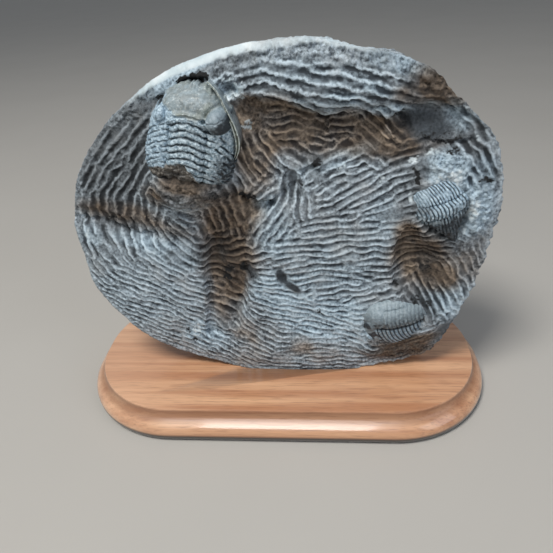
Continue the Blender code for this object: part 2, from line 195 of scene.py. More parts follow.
# Broken steps: the relief falls on the right-hand side of each line, as one walks along it
LEDGES = (  # drop, width of the lip, reach of the low side, then the line's points
    (6.4, 1.8, 24.0, ((-16, 200), (-3, 198), (9, 196), (19, 191), (31, 186), (41, 188),
                      (52, 189), (62, 184), (70, 188))),
    (4.6, 2.0, 22.0, ((70, 186), (78, 192), (90, 193), (104, 187))),
    (4.6, 1.6, 18.0, ((-50, 46), (-47, 70), (-45, 96), (-43, 112))),
    (3.4, 1.4, 10.0, ((-120, 131), (-108, 130), (-98, 126), (-88, 120), (-76, 121))),
    (3.6, 1.4, 13.0, ((-16, 142), (-6, 139), (0, 142), (10, 150))),
    (4.4, 1.8, 16.0, ((70, 84), (69, 98), (70, 110), (75, 122))),
    (3.2, 1.3, 9.0, ((86, 172), (98, 170), (107, 172))),
    (3.2, 2.2, 15.0, ((-11, 136), (-14, 120), (-15, 100), (-20, 76), (-27, 52))),
    (2.4, 1.2, 9.0, ((60, 168), (46, 172), (34, 167), (20, 161))),
)


def smooth_step(low, high, value):
    share = np.clip((value - low) / (high - low), 0.0, 1.0)
    return share * share * (3.0 - 2.0 * share)


def forms(x, z, table):
    """Sum of soft elliptical mounds, each (x, z, half length, half height, turn, relief)."""
    total = np.zeros_like(x)
    for form_x, form_z, length, height, turn, relief in table:
        cosine, sine = math.cos(math.radians(turn)), math.sin(math.radians(turn))
        away_x = ((x - form_x) * cosine + (z - form_z) * sine) / length
        away_z = ((z - form_z) * cosine - (x - form_x) * sine) / height
        total += relief * (1.0 - smooth_step(0.45, 1.25, np.hypot(away_x, away_z)))
    return total


def cover(x, z, table):
    """How far the forms of a table cover each point, from 0 to 1."""
    return np.clip(forms(x, z, table), 0.0, 1.0)


def grit(x, z, size, octaves=1, seed=0.0):
    """Smooth noise of about -1..1 at points in mm, with features of one size and finer ones."""
    if octaves == 1:
        return np.array([noise.noise((a, b, seed)) for a, b in zip(x / size, z / size)])
    return np.array([noise.fractal((a, b, seed), 0.8, 2.0, octaves)
                     for a, b in zip(x / size, z / size)])


def ledge(x, z, drop, lip, reach, line):
    """Relief beside a broken edge: the whole drop just right of it, none left of it."""
    nearest = np.full(x.shape, 1e9)
    side = np.zeros(x.shape)
    inside = np.zeros(x.shape)
    for (ax, az), (bx, bz) in zip(line, line[1:]):
        run_x, run_z = bx - ax, bz - az
        length = math.hypot(run_x, run_z)
        share = ((x - ax) * run_x + (z - az) * run_z) / length ** 2
        held = np.clip(share, 0.0, 1.0)
        away = np.hypot(x - ax - held * run_x, z - az - held * run_z)
        closer = away < nearest
        nearest = np.where(closer, away, nearest)
        right = ((x - ax) * run_z - (z - az) * run_x) / length
        side = np.where(closer, right, side)
        inside = np.where(closer, 1.0 - smooth_step(0.0, 4.0, np.abs(share - held) * length), inside)
    signed = np.where(side > 0.0, nearest, -nearest)
    return -drop * smooth_step(-0.3 * lip, lip, signed) * (1.0 - smooth_step(lip, reach, signed)) * inside


def through_points(before, low, high, after, share):
    """A smooth line through four values in a row, read from low (share 0) to high (share 1)."""
    square, cube = share ** 2, share ** 3
    return (low * (2 * cube - 3 * square + 1) + (high - before) / 2 * (cube - 2 * square + share)
            + high * (3 * square - 2 * cube) + (after - low) / 2 * (cube - square))


def outline_distance(angle):
    """Distance from the slab's middle to its outline, on a smooth closed curve."""
    places = np.array(SLAB_OUTLINE) - SLAB_CENTRE
    angles = np.arctan2(places[:, 1], places[:, 0]) % math.tau
    order = np.argsort(angles)
    angles, radii = angles[order], np.hypot(places[:, 0], places[:, 1])[order]
    count = len(radii)
    angle = angle % math.tau
    index = np.searchsorted(angles, angle, side="right")
    start = angles[(index - 1) % count]
    span = (angles[index % count] - start) % math.tau
    share = ((angle - start) % math.tau) / span
    return through_points(*(radii[(index + shift) % count] for shift in (-2, -1, 0, 1)), share)


def disc_places(a, b):
    """Carry points of the square -1..1 to (x, z, share of the way to the rim)."""
    flat = np.abs(a) > np.abs(b)
    reach = np.where(flat, a, b)
    safe = np.where(reach == 0.0, 1.0, reach)
    angle = np.where(flat, math.pi / 4 * b / safe, math.pi / 2 - math.pi / 4 * a / safe)
    angle = np.where(reach < 0.0, angle + math.pi, angle)
    reach = np.abs(reach)
    distance = reach * outline_distance(angle)
    return (SLAB_CENTRE[0] + distance * np.cos(angle),
            SLAB_CENTRE[1] + distance * np.sin(angle), reach)


def swell_out(x, z, reach, depth):
    """Spread the outline by its swell at a depth from 0 (face) to 1 (back)."""
    bearing = np.arctan2(z - SLAB_CENTRE[1], x - SLAB_CENTRE[0]) - math.radians(SHOULDER_DEGREES)
    bearing = (bearing + math.pi) % math.tau - math.pi
    swell = np.interp(depth, SWELL_DEPTHS, SLAB_SWELL)
    shoulder = np.where(np.abs(bearing) < math.pi / 3, np.cos(1.5 * bearing), 0.0)
    swell = swell + SHOULDER_SWELL * shoulder * (0.55 + 0.45 * smooth_step(0.0, 0.06, depth))
    top = np.degrees(bearing) + SHOULDER_DEGREES - SAWN_DEGREES
    sawn_edge = smooth_step(-46.0, -14.0, top) * smooth_step(40.0, 4.0, top)
    swell = swell + SAWN_SWELL * sawn_edge * smooth_step(0.0, 0.09, depth)
    wobble = 0.9 * grit(x, z, 17.0, seed=16.0) * reach
    broken = 0.35 + 1.3 * smooth_step(0.1, 0.8, np.cos(bearing + 2.9))
    jag = broken * grit(x, z, 4.5, 2, seed=31.0) * reach ** 24
    out_x, out_z = x - SLAB_CENTRE[0], z - SLAB_CENTRE[1]
    share = jag / np.maximum(np.hypot(out_x, out_z), 1.0)
    return (SLAB_CENTRE[0] + out_x * (swell + share) + wobble,
            SLAB_CENTRE[1] + out_z * (swell + share) + wobble)


def face_plane(z):
    return FACE_FOOT_Y + FACE_LEAN * (z - BASE_HEIGHT)


def face_relief(x, z, reach):
    """How far the face stands proud of its mean plane, before the strokes."""
    relief = forms(x, z, FACE_FORMS)
    relief += 1.1 * grit(x, 13.0 / 9.0 * z, 13.0, seed=2.0)
    relief += forms(x, z, SMALL_FORMS)
    bent_x = x + 1.6 * grit(x, z, 7.0, 2, seed=41.0)
    bent_z = z + 1.6 * grit(x, z, 7.0, 2, seed=43.0)
    for step in LEDGES:
        relief += ledge(bent_x, bent_z, *step)
    return relief * (1.0 - RIM_EASE * reach ** 6)


def square_grid(cells):
    """Points of the square -1..1 on an even grid, row by row."""
    side = np.linspace(-1.0, 1.0, cells + 1)
    return (grid.ravel() for grid in np.meshgrid(side, side))


def grid_faces(columns, rows):
    """Quads of a grid whose points are numbered row by row."""
    row = columns + 1
    return [(j * row + i, j * row + i + 1, (j + 1) * row + i + 1, (j + 1) * row + i)
            for j in range(rows) for i in range(columns)]


def border_of(columns, rows):
    """Places (column, row) of a grid's border, anticlockwise from its first corner."""
    return ([(i, 0) for i in range(columns)] + [(columns, j) for j in range(rows)]
            + [(columns - i, rows) for i in range(columns)] + [(0, rows - j) for j in range(rows)])


def slab_shell(front_cells, back_cells, rings, front_y, roughness):
    """Vertices and faces of the whole closed slab, and how many of the vertices are the face.

    front_y gives the face's y for arrays (x, z, reach)."""
    x0, z0, reach = disc_places(*square_grid(front_cells))
    x, z = swell_out(x0, z0, reach, 0.0)
    parts = [np.column_stack((x, front_y(x, z, reach), z))]
    row = front_cells + 1
    loop = [j * row + i for i, j in border_of(front_cells, front_cells)]
    faces = grid_faces(front_cells, front_cells)
    rim_x, rim_z, rim_y = x0[loop], z0[loop], parts[0][loop, 1]
    before, count, total = loop, len(loop), row * row
    one = np.ones(count)
    bearing = np.degrees(np.arctan2(rim_z - SLAB_CENTRE[1], rim_x - SLAB_CENTRE[0]))
    sawn_flat = 1.0 - 0.85 * smooth_step(84.0, 94.0, bearing) * smooth_step(142.0, 130.0, bearing)
    for ring in range(1, rings + 1):
        depth = ring / rings
        ring_x, ring_z = swell_out(rim_x, rim_z, one, depth)
        back = BACK_Y + 3.0 * grit(ring_x, ring_z, 34.0, seed=11.0)
        ring_y = rim_y + (back - rim_y) * depth
        bulge = roughness * (grit(rim_x + 40.0 * depth, rim_z - 30.0 * depth, 6.0, 3, seed=53.0)
                             + 1.2 * grit(rim_x + 40.0 * depth, rim_z, 15.0, 2, seed=55.0) - 0.4)
        bulge *= np.minimum(1.0, 5.0 * depth) * (1.0 - depth ** 4) * sawn_flat
        out = np.column_stack((ring_x - SLAB_CENTRE[0], ring_z - SLAB_CENTRE[1]))
        out /= np.linalg.norm(out, axis=1)[:, None]
        parts.append(np.column_stack((ring_x + bulge * out[:, 0], ring_y, ring_z + bulge * out[:, 1])))
        now = list(range(total, total + count))
        faces += [(before[p], now[p], now[(p + 1) % count], before[(p + 1) % count])
                  for p in range(count)]
        before, total = now, total + count
    x, z, reach = disc_places(*square_grid(back_cells))
    x, z = swell_out(x, z, reach, 1.0)
    y = BACK_Y + 3.0 * grit(x, z, 34.0, seed=11.0)
    split = 2.6 * grit(x, 1.4 * z, 38.0, 5, seed=61.0)
    step = split - np.floor(split)
    split = np.floor(split) + smooth_step(0.15, 0.6, step)
    y += roughness * (3.2 * split + 1.0 * grit(x, z, 8.0, 5, seed=63.0)) * (1.0 - reach ** 6)
    # The back's grid is coarser, so its border faces take in the last ring's points in between
    row, step = back_cells + 1, front_cells // back_cells
    number, between, inner = {}, {}, []
    places = border_of(back_cells, back_cells)
    for position, place in enumerate(places):
        start = position * step
        number[place] = before[start]
        following = places[(position + 1) % len(places)]
        between[(place, following)] = before[start + 1:start + step]
    for j in range(1, back_cells):
        for i in range(1, back_cells):
            number[(i, j)] = total + len(inner)
            inner.append(j * row + i)
    parts.append(np.column_stack((x[inner], y[inner], z[inner])))
    for j in range(back_cells):
        for i in range(back_cells):
            corners = [(i, j), (i, j + 1), (i + 1, j + 1), (i + 1, j)]
            face = []
            for first, second in zip(corners, corners[1:] + corners[:1]):
                face.append(number[first])
                face += between.get((first, second), between.get((second, first), [])[::-1])
            faces.append(face)
    return np.vstack(parts), faces, (front_cells + 1) ** 2


# Chisel strokes: pitch and depth of a field's strokes, then where its patches lie and the
# direction they run in, as (x, z, degrees)
STROKE_FIELDS = (
    (5.9, 1.35, ((2, 217, 4), (18, 220, 0), (2, 205, -12), (28, 209, -7), (35, 197, -16),
                 (51, 204, -16), (53, 216, -12), (14, 198, -22), (-25, 215, 18), (-8, 210, 16))),
    (5.0, 1.25, ((68, 205, -22), (81, 205, -22), (92, 200, -16), (56, 193, -20), (100, 190, -40),
                 (76, 195, -16))),
    (4.1, 1.15, ((6, 182, 6), (17, 184, -25), (41, 186, 0), (57, 177, -36), (8, 170, -10),
                 (-9, 162, -56), (-15, 171, -64), (-1, 165, -42), (35, 176, -4), (-10, 185, -70),
                 (76, 163, 14), (16, 163, -32), (66, 180, -40))),
    (4.3, 1.10, ((40, 162, 22), (55, 163, -37), (54, 155, 25), (68, 149, 24), (34, 143, 28),
                 (66, 137, 24), (71, 146, 24), (22, 156, 30), (52, 146, 28), (76, 160, 30),
                 (46, 136, 26))),
    (4.4, 1.05, ((32, 128, 12), (16, 115, 16), (44, 125, 10), (5, 104, 4), (38, 105, 6),
                 (64, 111, 0), (16, 90, 16), (50, 91, -6), (32, 77, 10), (64, 122, 8),
                 (62, 97, 4), (35, 90, -8), (45, 78, 2), (20, 104, 10), (66, 88, 14))),
    (4.5, 1.00, ((10, 146, 76), (-2, 141, 32), (-9, 122, 64), (4, 124, 66), (-3, 133, 48),
                 (8, 136, 84), (16, 136, -78))),
    (5.0, 1.30, ((-22, 134, -74), (-34, 134, -82), (-34, 110, 12), (-26, 124, -76),
                 (-33, 92, -18), (-31, 74, -38), (-24, 104, 20), (-44, 124, -80))),
    (3.5, 0.95, ((-2, 76, -10), (19, 62, -14), (41, 55, -14), (38, 40, -4), (12, 51, -12),
                 (-23, 51, -28), (-34, 39, -26), (5, 35, 4), (-10, 64, -24), (55, 47, -10),
                 (58, 62, 20), (50, 70, 20), (-12, 40, -22), (22, 34, 0), (30, 28, 2))),
    (4.7, 1.35, ((-80, 184, 48), (-97, 168, 44), (-88, 158, 46), (-72, 196, 46), (-80, 168, 48),
                 (-106, 156, 44), (-94, 151, 50), (-78, 154, 56))),
    (5.4, 1.15, ((-103, 136, 84), (-85, 136, 80), (-74, 140, 76), (-115, 137, 84),
                 (-110, 121, -72), (-92, 117, -74), (-80, 118, -68), (-104, 106, -66))),
    (3.6, 0.95, ((-87, 89, -30), (-65, 85, -30), (-108, 78, -36), (-84, 63, -27), (-62, 59, -30),
                 (-68, 39, -27), (-51, 35, -30), (-72, 102, -36), (-97, 92, -34), (-58, 70, -30))),
    (4.4, 1.00, ((-63, 146, -12), (-53, 126, -35), (-70, 117, -47), (-60, 112, -40),
                 (-50, 142, -20))),
    (4.8, 1.40, ((104, 174, -46), (116, 163, -58), (111, 171, -54), (117, 155, -60))),
    (3.9, 1.05, ((78, 119, 14), (96, 104, 0), (80, 102, 6), (106, 98, -72), (88, 108, 10),
                 (97, 92, -65))),
    (4.2, 1.20, ((102, 77, -64), (113, 84, -66), (96, 72, -60), (108, 68, -60), (116, 104, -60))),
    (3.6, 0.60, ((97, 159, 10), (118, 139, 30), (118, 120, -41), (84, 156, 20), (74, 32, 15),
                 (89, 40, 25), (101, 47, 30))),
)
# Places left smooth by a flake that came off whole: x, z, half length, half height, turn,
# strength
SMOOTH_FORMS = (
    (-20.5, 204, 6, 5, 0, 1.6), (89, 180, 21, 10, -16, 1.0), (94, 87, 7, 6, 0, 1.6),
    (-17, 90, 5, 6, 10, 1.0), (2, 89, 3.6, 6.6, 15, 1.8), (9, 81, 6.6, 3, -35, 1.6),
    (84, 160, 4, 4, 0, 1.4), (13, 38, 9, 8, 0, 0.35), (68, 131, 9, 5, 5, 0.8),
    (26, 153, 6, 3, -5, 0.8), (104, 48, 7, 13, -32, 0.9), (-60, 206, 26, 6, 30, 0.9),
    (-36, 213, 14, 5, 12, 0.8), (98, 159, 11, 6, -10, 0.7), (11, 153, 3.5, 5.5, 0, 1.0),
    (2, 30, 12, 6, 0, 0.5), (30, 46, 3, 2.5, 0, 0.8), (83, 209, 8, 5, -35, 0.6),
    (60, 168, 3, 8, 0, 0.6), (-103, 108, 10, 3, -10, 0.5),
)
STROKE_SPACING = 4.8  # between the short wave trains that make up the strokes
STROKE_REACH = 4.6  # standard deviation of one train's extent
STROKE_UNEVEN = 1.15  # radians that a train may be out of step with its neighbours
PATCH_BLEND = 5.0  # how far one patch of strokes runs into the next
STROKE_STRAY = 2.4  # how far off its even place a train may lie
STROKE_SWING = 0.16  # radians, the standard deviation of a train's turn


def stroke_field(x, z):
    """Direction in radians, pitch and depth of the strokes at points of the face."""
    patches = np.array([(*place, pitch, depth) for pitch, depth, places in STROKE_FIELDS
                        for place in places], float)
    x = x + 2.5 * grit(x, z, 9.0, 2, seed=81.0)
    z = z + 2.5 * grit(x, z, 9.0, 2, seed=83.0)
    away = np.hypot(x[:, None] - patches[:, 0], z[:, None] - patches[:, 1])
    nearest = away.min(1)[:, None]
    weight = np.exp((nearest ** 2 - away ** 2) / PATCH_BLEND ** 2)
    weight /= weight.sum(1)[:, None]
    double = np.radians(2.0 * patches[:, 2])
    turn = 0.5 * np.arctan2(weight @ np.sin(double), weight @ np.cos(double))
    return turn, weight @ patches[:, 3], weight @ patches[:, 4]


def chisel(x, z):
    """Wave of the strokes over the face as a complex number, its phase 0 in a trough, pi on a
    crest and growing downwards, the depth they are cut to, and the direction they run in.

    It is a sum of short wave trains, each in step with the ones before it where it can be, so
    that rows run on, bend, fork and break off as hand-cut ones do."""
    draw = np.random.default_rng(7)
    columns = np.arange(-126.0, 134.0, STROKE_SPACING)
    rows = np.arange(10.0, 230.0, STROKE_SPACING)
    mid_x, mid_z = (grid.ravel() for grid in np.meshgrid(columns, rows))
    mid_x = mid_x + draw.uniform(-STROKE_STRAY, STROKE_STRAY, mid_x.size)
    mid_z = mid_z + draw.uniform(-STROKE_STRAY, STROKE_STRAY, mid_z.size)
    turn, pitch, _ = stroke_field(mid_x, mid_z)
    turn = turn + draw.normal(0.0, STROKE_SWING, turn.size)
    rate_x = -np.sin(turn) * math.tau / pitch
    rate_z = np.cos(turn) * math.tau / pitch
    step = np.zeros(turn.size)
    for index in range(1, turn.size):
        dx, dz = mid_x[index] - mid_x[:index], mid_z[index] - mid_z[:index]
        weight = np.exp(-(dx ** 2 + dz ** 2) / (2.0 * STROKE_REACH ** 2))
        agree = np.cos(turn[index] - turn[:index]) ** 8
        wave = (weight * agree * np.exp(1j * (rate_x[:index] * dx + rate_z[:index] * dz
                                              + step[:index]))).sum()
        step[index] = np.angle(wave) + draw.normal(0.0, STROKE_UNEVEN)
    ragged = 0.35 + 0.7 * smooth_step(186.0, 198.0, z) + 0.3 * smooth_step(-60.0, -80.0, x)
    bent_x = x + 0.9 * grit(x, z, 7.0, seed=71.0) + ragged * grit(x, z, 2.6, 2, seed=75.0)
    bent_z = z + 0.9 * grit(x, z, 7.0, seed=73.0) + ragged * grit(x, z, 2.6, 2, seed=77.0)
    order = np.argsort(bent_x)
    sorted_x = bent_x[order]
    total = np.zeros(x.size, complex)
    reach = 2.6 * STROKE_REACH
    for index in range(turn.size):
        first, last = np.searchsorted(sorted_x, (mid_x[index] - reach, mid_x[index] + reach))
        near = order[first:last]
        near = near[np.abs(bent_z[near] - mid_z[index]) < reach]
        dx, dz = bent_x[near] - mid_x[index], bent_z[near] - mid_z[index]
        weight = np.exp(-(dx ** 2 + dz ** 2) / (2.0 * STROKE_REACH ** 2))
        total[near] += weight * np.exp(1j * (rate_x[index] * dx + rate_z[index] * dz + step[index]))
    size = np.abs(total)
    turn, _, depth = stroke_field(x, z)
    return total.conj() / np.maximum(size, 1e-6), depth * np.minimum(1.0, size / 1.6), turn


def stroke_streaks(x, z, turn, size, reach, seed):
    """Noise of about -1..1 drawn out along the direction of the strokes."""
    total = np.zeros_like(x)
    for share in (-1.0, -0.67, -0.33, 0.0, 0.33, 0.67, 1.0):
        step = share * reach
        total += grit(x + step * np.cos(turn), z + step * np.sin(turn), size, seed=seed)
    return total / 3.2


def stone_object(name, vertices, faces, attributes):
    """A mesh object from points in mm, with one float attribute for each named array."""
    mesh = bpy.data.meshes.new(name)
    mesh.from_pydata((vertices * MM).tolist(), [], faces)
    for key, values in attributes.items():
        attribute = mesh.attributes.new(key, "FLOAT", "POINT")
        full = np.zeros(len(vertices), np.float32)
        full[:len(values)] = values
        attribute.data.foreach_set("value", full)
    mesh.shade_smooth()
    made = bpy.data.objects.new(name, mesh)
    bpy.context.scene.collection.objects.link(made)
    return made


def through_tree(source, tree, inputs):
    """Run a Geometry Nodes tree on an object, keep the result as a plain mesh, drop the source."""
    modifier = source.modifiers.new(tree.name, "NODES")
    modifier.node_group = tree
    sockets = {item.name: item.identifier for item in tree.interface.items_tree
               if item.item_type == "SOCKET" and item.in_out == "INPUT"}
    for name, value in inputs.items():
        modifier[sockets[name]] = value
    evaluated = source.evaluated_get(bpy.context.evaluated_depsgraph_get())
    mesh = bpy.data.meshes.new_from_object(evaluated)
    name = source.name
    source.modifiers.remove(modifier)
    bpy.data.objects.remove(source)
    made = bpy.data.objects.new(name, mesh)
    mesh.name = name
    bpy.context.scene.collection.objects.link(made)
    return made


def furrow_tree():
    """Furrows and ridges from the named wave "wave_x", "wave_y", weighted by "relief".

    The surface moves by Depth x relief x (f ** Power - Bias), where f runs from 0 at phase 0 to
    1 at phase pi, and is roughened wherever "smooth" is below 1."""
    tree = bpy.data.node_groups.new("furrows", "GeometryNodeTree")
    tree.interface.new_socket("Geometry", in_out="INPUT", socket_type="NodeSocketGeometry")
    for label in ("Depth", "Power", "Bias", "Chatter", "Chatter Scale"):
        tree.interface.new_socket(label, in_out="INPUT", socket_type="NodeSocketFloat")
    tree.interface.new_socket("Material", in_out="INPUT", socket_type="NodeSocketMaterial")
    tree.interface.new_socket("Geometry", in_out="OUTPUT", socket_type="NodeSocketGeometry")
    given = add_node(tree, "NodeGroupInput").node.outputs
    wave_x, wave_y, relief, smooth = (
        add_node(tree, "GeometryNodeInputNamedAttribute", {"Name": name}, data_type="FLOAT")
        for name in ("wave_x", "wave_y", "relief", "smooth"))
    furrow = add_node(tree, "ShaderNodeMath", {0: wave_y, 1: wave_x}, operation="ARCTAN2")
    for operation, operand in (("ABSOLUTE", 0.0), ("DIVIDE", math.pi), ("POWER", given["Power"]),
                               ("SUBTRACT", given["Bias"]), ("MULTIPLY", relief),
                               ("MULTIPLY", given["Depth"])):
        furrow = add_node(tree, "ShaderNodeMath", {0: furrow, 1: operand}, operation=operation)
    rough = add_node(tree, "ShaderNodeMath", {0: 1.0, 1: smooth}, operation="SUBTRACT",
                     use_clamp=True)
    place = add_node(tree, "GeometryNodeInputPosition")
    move = add_node(tree, "ShaderNodeTexNoise",
                    {"Vector": place, "Scale": given["Chatter Scale"], "Detail": 2.0}, "Fac")
    for operation, operand in (("SUBTRACT", 0.5), ("MULTIPLY", given["Chatter"]),
                               ("MULTIPLY", rough), ("ADD", furrow)):
        move = add_node(tree, "ShaderNodeMath", {0: move, 1: operand}, operation=operation)
    normal = add_node(tree, "GeometryNodeInputNormal")
    move = add_node(tree, "ShaderNodeVectorMath", {0: normal, "Scale": move}, operation="SCALE")
    shape = add_node(tree, "GeometryNodeSetPosition", {"Geometry": given["Geometry"], "Offset": move})
    shape = add_node(tree, "GeometryNodeRealizeInstances", {"Geometry": shape})
    shape = add_node(tree, "GeometryNodeSetMaterial",
                     {"Geometry": shape, "Material": given["Material"]})
    tree.links.new(shape, tree.nodes.new("NodeGroupOutput").inputs["Geometry"])
    return tree


# Limestone: fine-grained and dark in the troughs of the strokes, partly as painted shade, bruised to a
# whitish grey on the crests between strokes, and stained brown by iron in the hollows.
limestone, tree, shader = new_material("chiselled_limestone", Roughness=0.86, Specular_IOR_Level=0.35)
coordinates = add_node(tree, "ShaderNodeTexCoord", out="Object")
marks = {name: add_node(tree, "ShaderNodeAttribute", out="Fac", attribute_name=name)
         for name in ("wave_x", "wave_y", "relief", "streak", "stain", "shade", "slate", "dust_and_light",
                      "hole", "sawn")}


def mottling(tree, coordinates, size, detail, low=0.0, high=1.0):
    """A mottled pattern with blotches of a size in mm, spread so that low..high becomes 0..1."""
    blotches = add_node(tree, "ShaderNodeTexNoise", {
        "Vector": coordinates, "Scale": 1.0 / (size * MM), "Detail": detail}, "Fac")
    return add_node(tree, "ShaderNodeMapRange", {
        "Value": blotches, "From Min": low, "From Max": high})


speck = mottling(tree, coordinates, 1.6, 5.0, 0.33, 0.67)
blotch = mottling(tree, coordinates, 5.0, 3.0, 0.33, 0.67)
patchy = mottling(tree, coordinates, 14.0, 3.0, 0.3, 0.7)
# From one crest, at 0, down through the trough below it to the next crest, at 1; the tone drops sharply
# just below each crest, painted shade as if lit from above
phase = add_node(tree, "ShaderNodeMath", {0: marks["wave_y"], 1: marks["wave_x"]},
                 operation="ARCTAN2")
phase = add_node(tree, "ShaderNodeMapRange", {
    "Value": phase, "From Min": -math.pi, "From Max": math.pi})
crest = add_node(tree, "ShaderNodeValToRGB", {"Fac": phase})
ramp = crest.node.color_ramp
for place, level in ((0.07, 0.80), (0.15, 0.16), (0.30, 0.0), (0.50, 0.04), (0.68, 0.14),
                     (0.80, 0.36), (0.91, 0.86)):
    ramp.elements.new(place).color = (level, level, level, 1.0)
ramp.elements[0].color = ramp.elements[-1].color = (1.0, 1.0, 1.0, 1.0)
grainy = add_node(tree, "ShaderNodeMath", {0: speck, 1: 0.9, 2: 0.55}, operation="MULTIPLY_ADD")
for operation, operand in (("SUBTRACT", 0.30), ("MULTIPLY", marks["relief"]), ("MULTIPLY", grainy)):
    crest = add_node(tree, "ShaderNodeMath", {0: crest, 1: operand}, operation=operation)
# How pale the stone is: the crests with the painted shade below them, then mottling, which shows most
# where no strokes were cut
bruised_and_shaded = add_node(tree, "ShaderNodeMath", {0: crest, 1: 0.92, 2: -0.08}, operation="MULTIPLY_ADD")
uncut = add_node(tree, "ShaderNodeMath", {0: marks["relief"], 1: -0.35, 2: 0.72},
                 operation="MULTIPLY_ADD")
for pattern, weight in ((blotch, 0.24), (speck, uncut), (marks["streak"], 0.16), (patchy, 0.30)):
    bruised_and_shaded = add_node(tree, "ShaderNodeMath", {0: pattern, 1: weight, 2: bruised_and_shaded},
                       operation="MULTIPLY_ADD")
bruised_and_shaded.node.use_clamp = True
grey, brown, shade_grey, shade_brown = (
    add_node(tree, "ShaderNodeMix", {0: bruised_and_shaded, 6: deep, 7: pale}, 2, data_type="RGBA")
    for deep, pale in (("353b41", "c2d0da"), ("221812", "a08f7d"), ("1f2428", "868d93"),
                       ("1c1511", "66594d")))
slate_tone, sawn_and_lit_tone = (
    add_node(tree, "ShaderNodeMix", {0: pattern, 6: deep, 7: pale}, 2, data_type="RGBA")
    for pattern, deep, pale in ((speck, "2d3338", "3f474f"), (patchy, "bccdd4", "eef6f9")))
stain = add_node(tree, "ShaderNodeMath", {0: patchy, 1: 0.5, 2: -0.25}, operation="MULTIPLY_ADD")
stain = add_node(tree, "ShaderNodeMath", {0: marks["stain"], 1: stain}, operation="ADD",
                 use_clamp=True)
shaded = add_node(tree, "ShaderNodeMix", {0: stain, 6: shade_grey, 7: shade_brown}, 2,
                  data_type="RGBA")
caught_dust_and_light = add_node(tree, "ShaderNodeMath", {0: marks["dust_and_light"], 1: bruised_and_shaded}, operation="MULTIPLY")
caught_dust_and_light = add_node(tree, "ShaderNodeMath", {0: caught_dust_and_light, 1: 0.4}, operation="MULTIPLY")
hole_shadow = add_node(tree, "ShaderNodeMath", {0: speck, 1: 0.5, 2: marks["hole"]},
                operation="MULTIPLY_ADD")
hole_shadow = add_node(tree, "ShaderNodeMapRange", {"Value": hole_shadow, "From Min": 0.75, "From Max": 1.05})
# Over the grey come iron stain, painted shade, bare slate, dust with painted light, painted shadow in the
# deep holes, and the sawn edge with its painted light
stone = grey
for share, colour, blend in (
        (stain, brown, "MIX"), (marks["shade"], shaded, "MIX"), (marks["slate"], slate_tone, "MIX"),
        (marks["dust_and_light"], "c8d8e2", "SOFT_LIGHT"), (caught_dust_and_light, "cad9e3", "MIX"),
        (hole_shadow, "0d0f11", "MIX"), (marks["sawn"], sawn_and_lit_tone, "MIX")):
    stone = add_node(tree, "ShaderNodeMix", {0: share, 6: stone, 7: colour}, 2,
                     data_type="RGBA", blend_type=blend)
tree.links.new(stone, shader.inputs["Base Color"])
grain = add_node(tree, "ShaderNodeBump", {
    "Height": mottling(tree, coordinates, 0.9, 4.0), "Strength": 0.5, "Distance": 0.5 * MM}, "Normal")
tree.links.new(grain, shader.inputs["Normal"])

# Brown iron stain over the face: x, z, half length, half height, turn, strength, as in the
# tables that follow
STAINS = (
    (-86, 132, 30, 8, -12, 0.3), (-31, 86, 12, 18, 6, 0.5), (76, 196, 13, 7, -10, 0.6),
    (88, 203, 18, 9, -30, 0.9), (82, 168, 16, 5, 5, 0.5), (-68, 146, 10, 8, 0, 0.5),
    (-22, 50, 24, 9, -20, 0.35), (13, 38, 9, 9, 0, 0.45), (-24, 44, 12, 5, -20, 0.4),
    (-46, 158, 20, 7, -8, 0.9), (62, 42, 7, 5, 0, 0.7), (92, 199, 13, 8, -34, 0.8),
    (-14, 196, 9, 8, 0, 0.6), (6, 184, 25, 17, -14, 1.0), (38, 176, 36, 14, -3, 1.0),
    (66, 174, 16, 14, 0, 0.9), (-9, 170, 13, 25, 6, 1.0), (-27, 134, 23, 20, 0, 1.0),
    (-30, 104, 20, 25, 0, 1.0), (-35, 74, 13, 18, 6, 0.85), (-54, 150, 20, 9, -6, 0.6),
    (-96, 134, 28, 10, -8, 0.6), (-66, 122, 15, 8, 0, 0.5), (86, 100, 21, 25, 8, 1.0),
    (99, 85, 12, 12, 0, 0.95), (76, 120, 8, 10, 0, 0.7), (80, 34, 25, 9, 4, 1.0),
    (86, 43, 20, 6, 10, 1.0), (104, 194, 13, 9, -38, 0.6), (22, 33, 22, 9, 0, 0.35),
    (-20, 30, 30, 10, 0, 0.3), (36, 112, 26, 22, 0, 0.18), (116, 100, 10, 20, 10, 0.5),
)
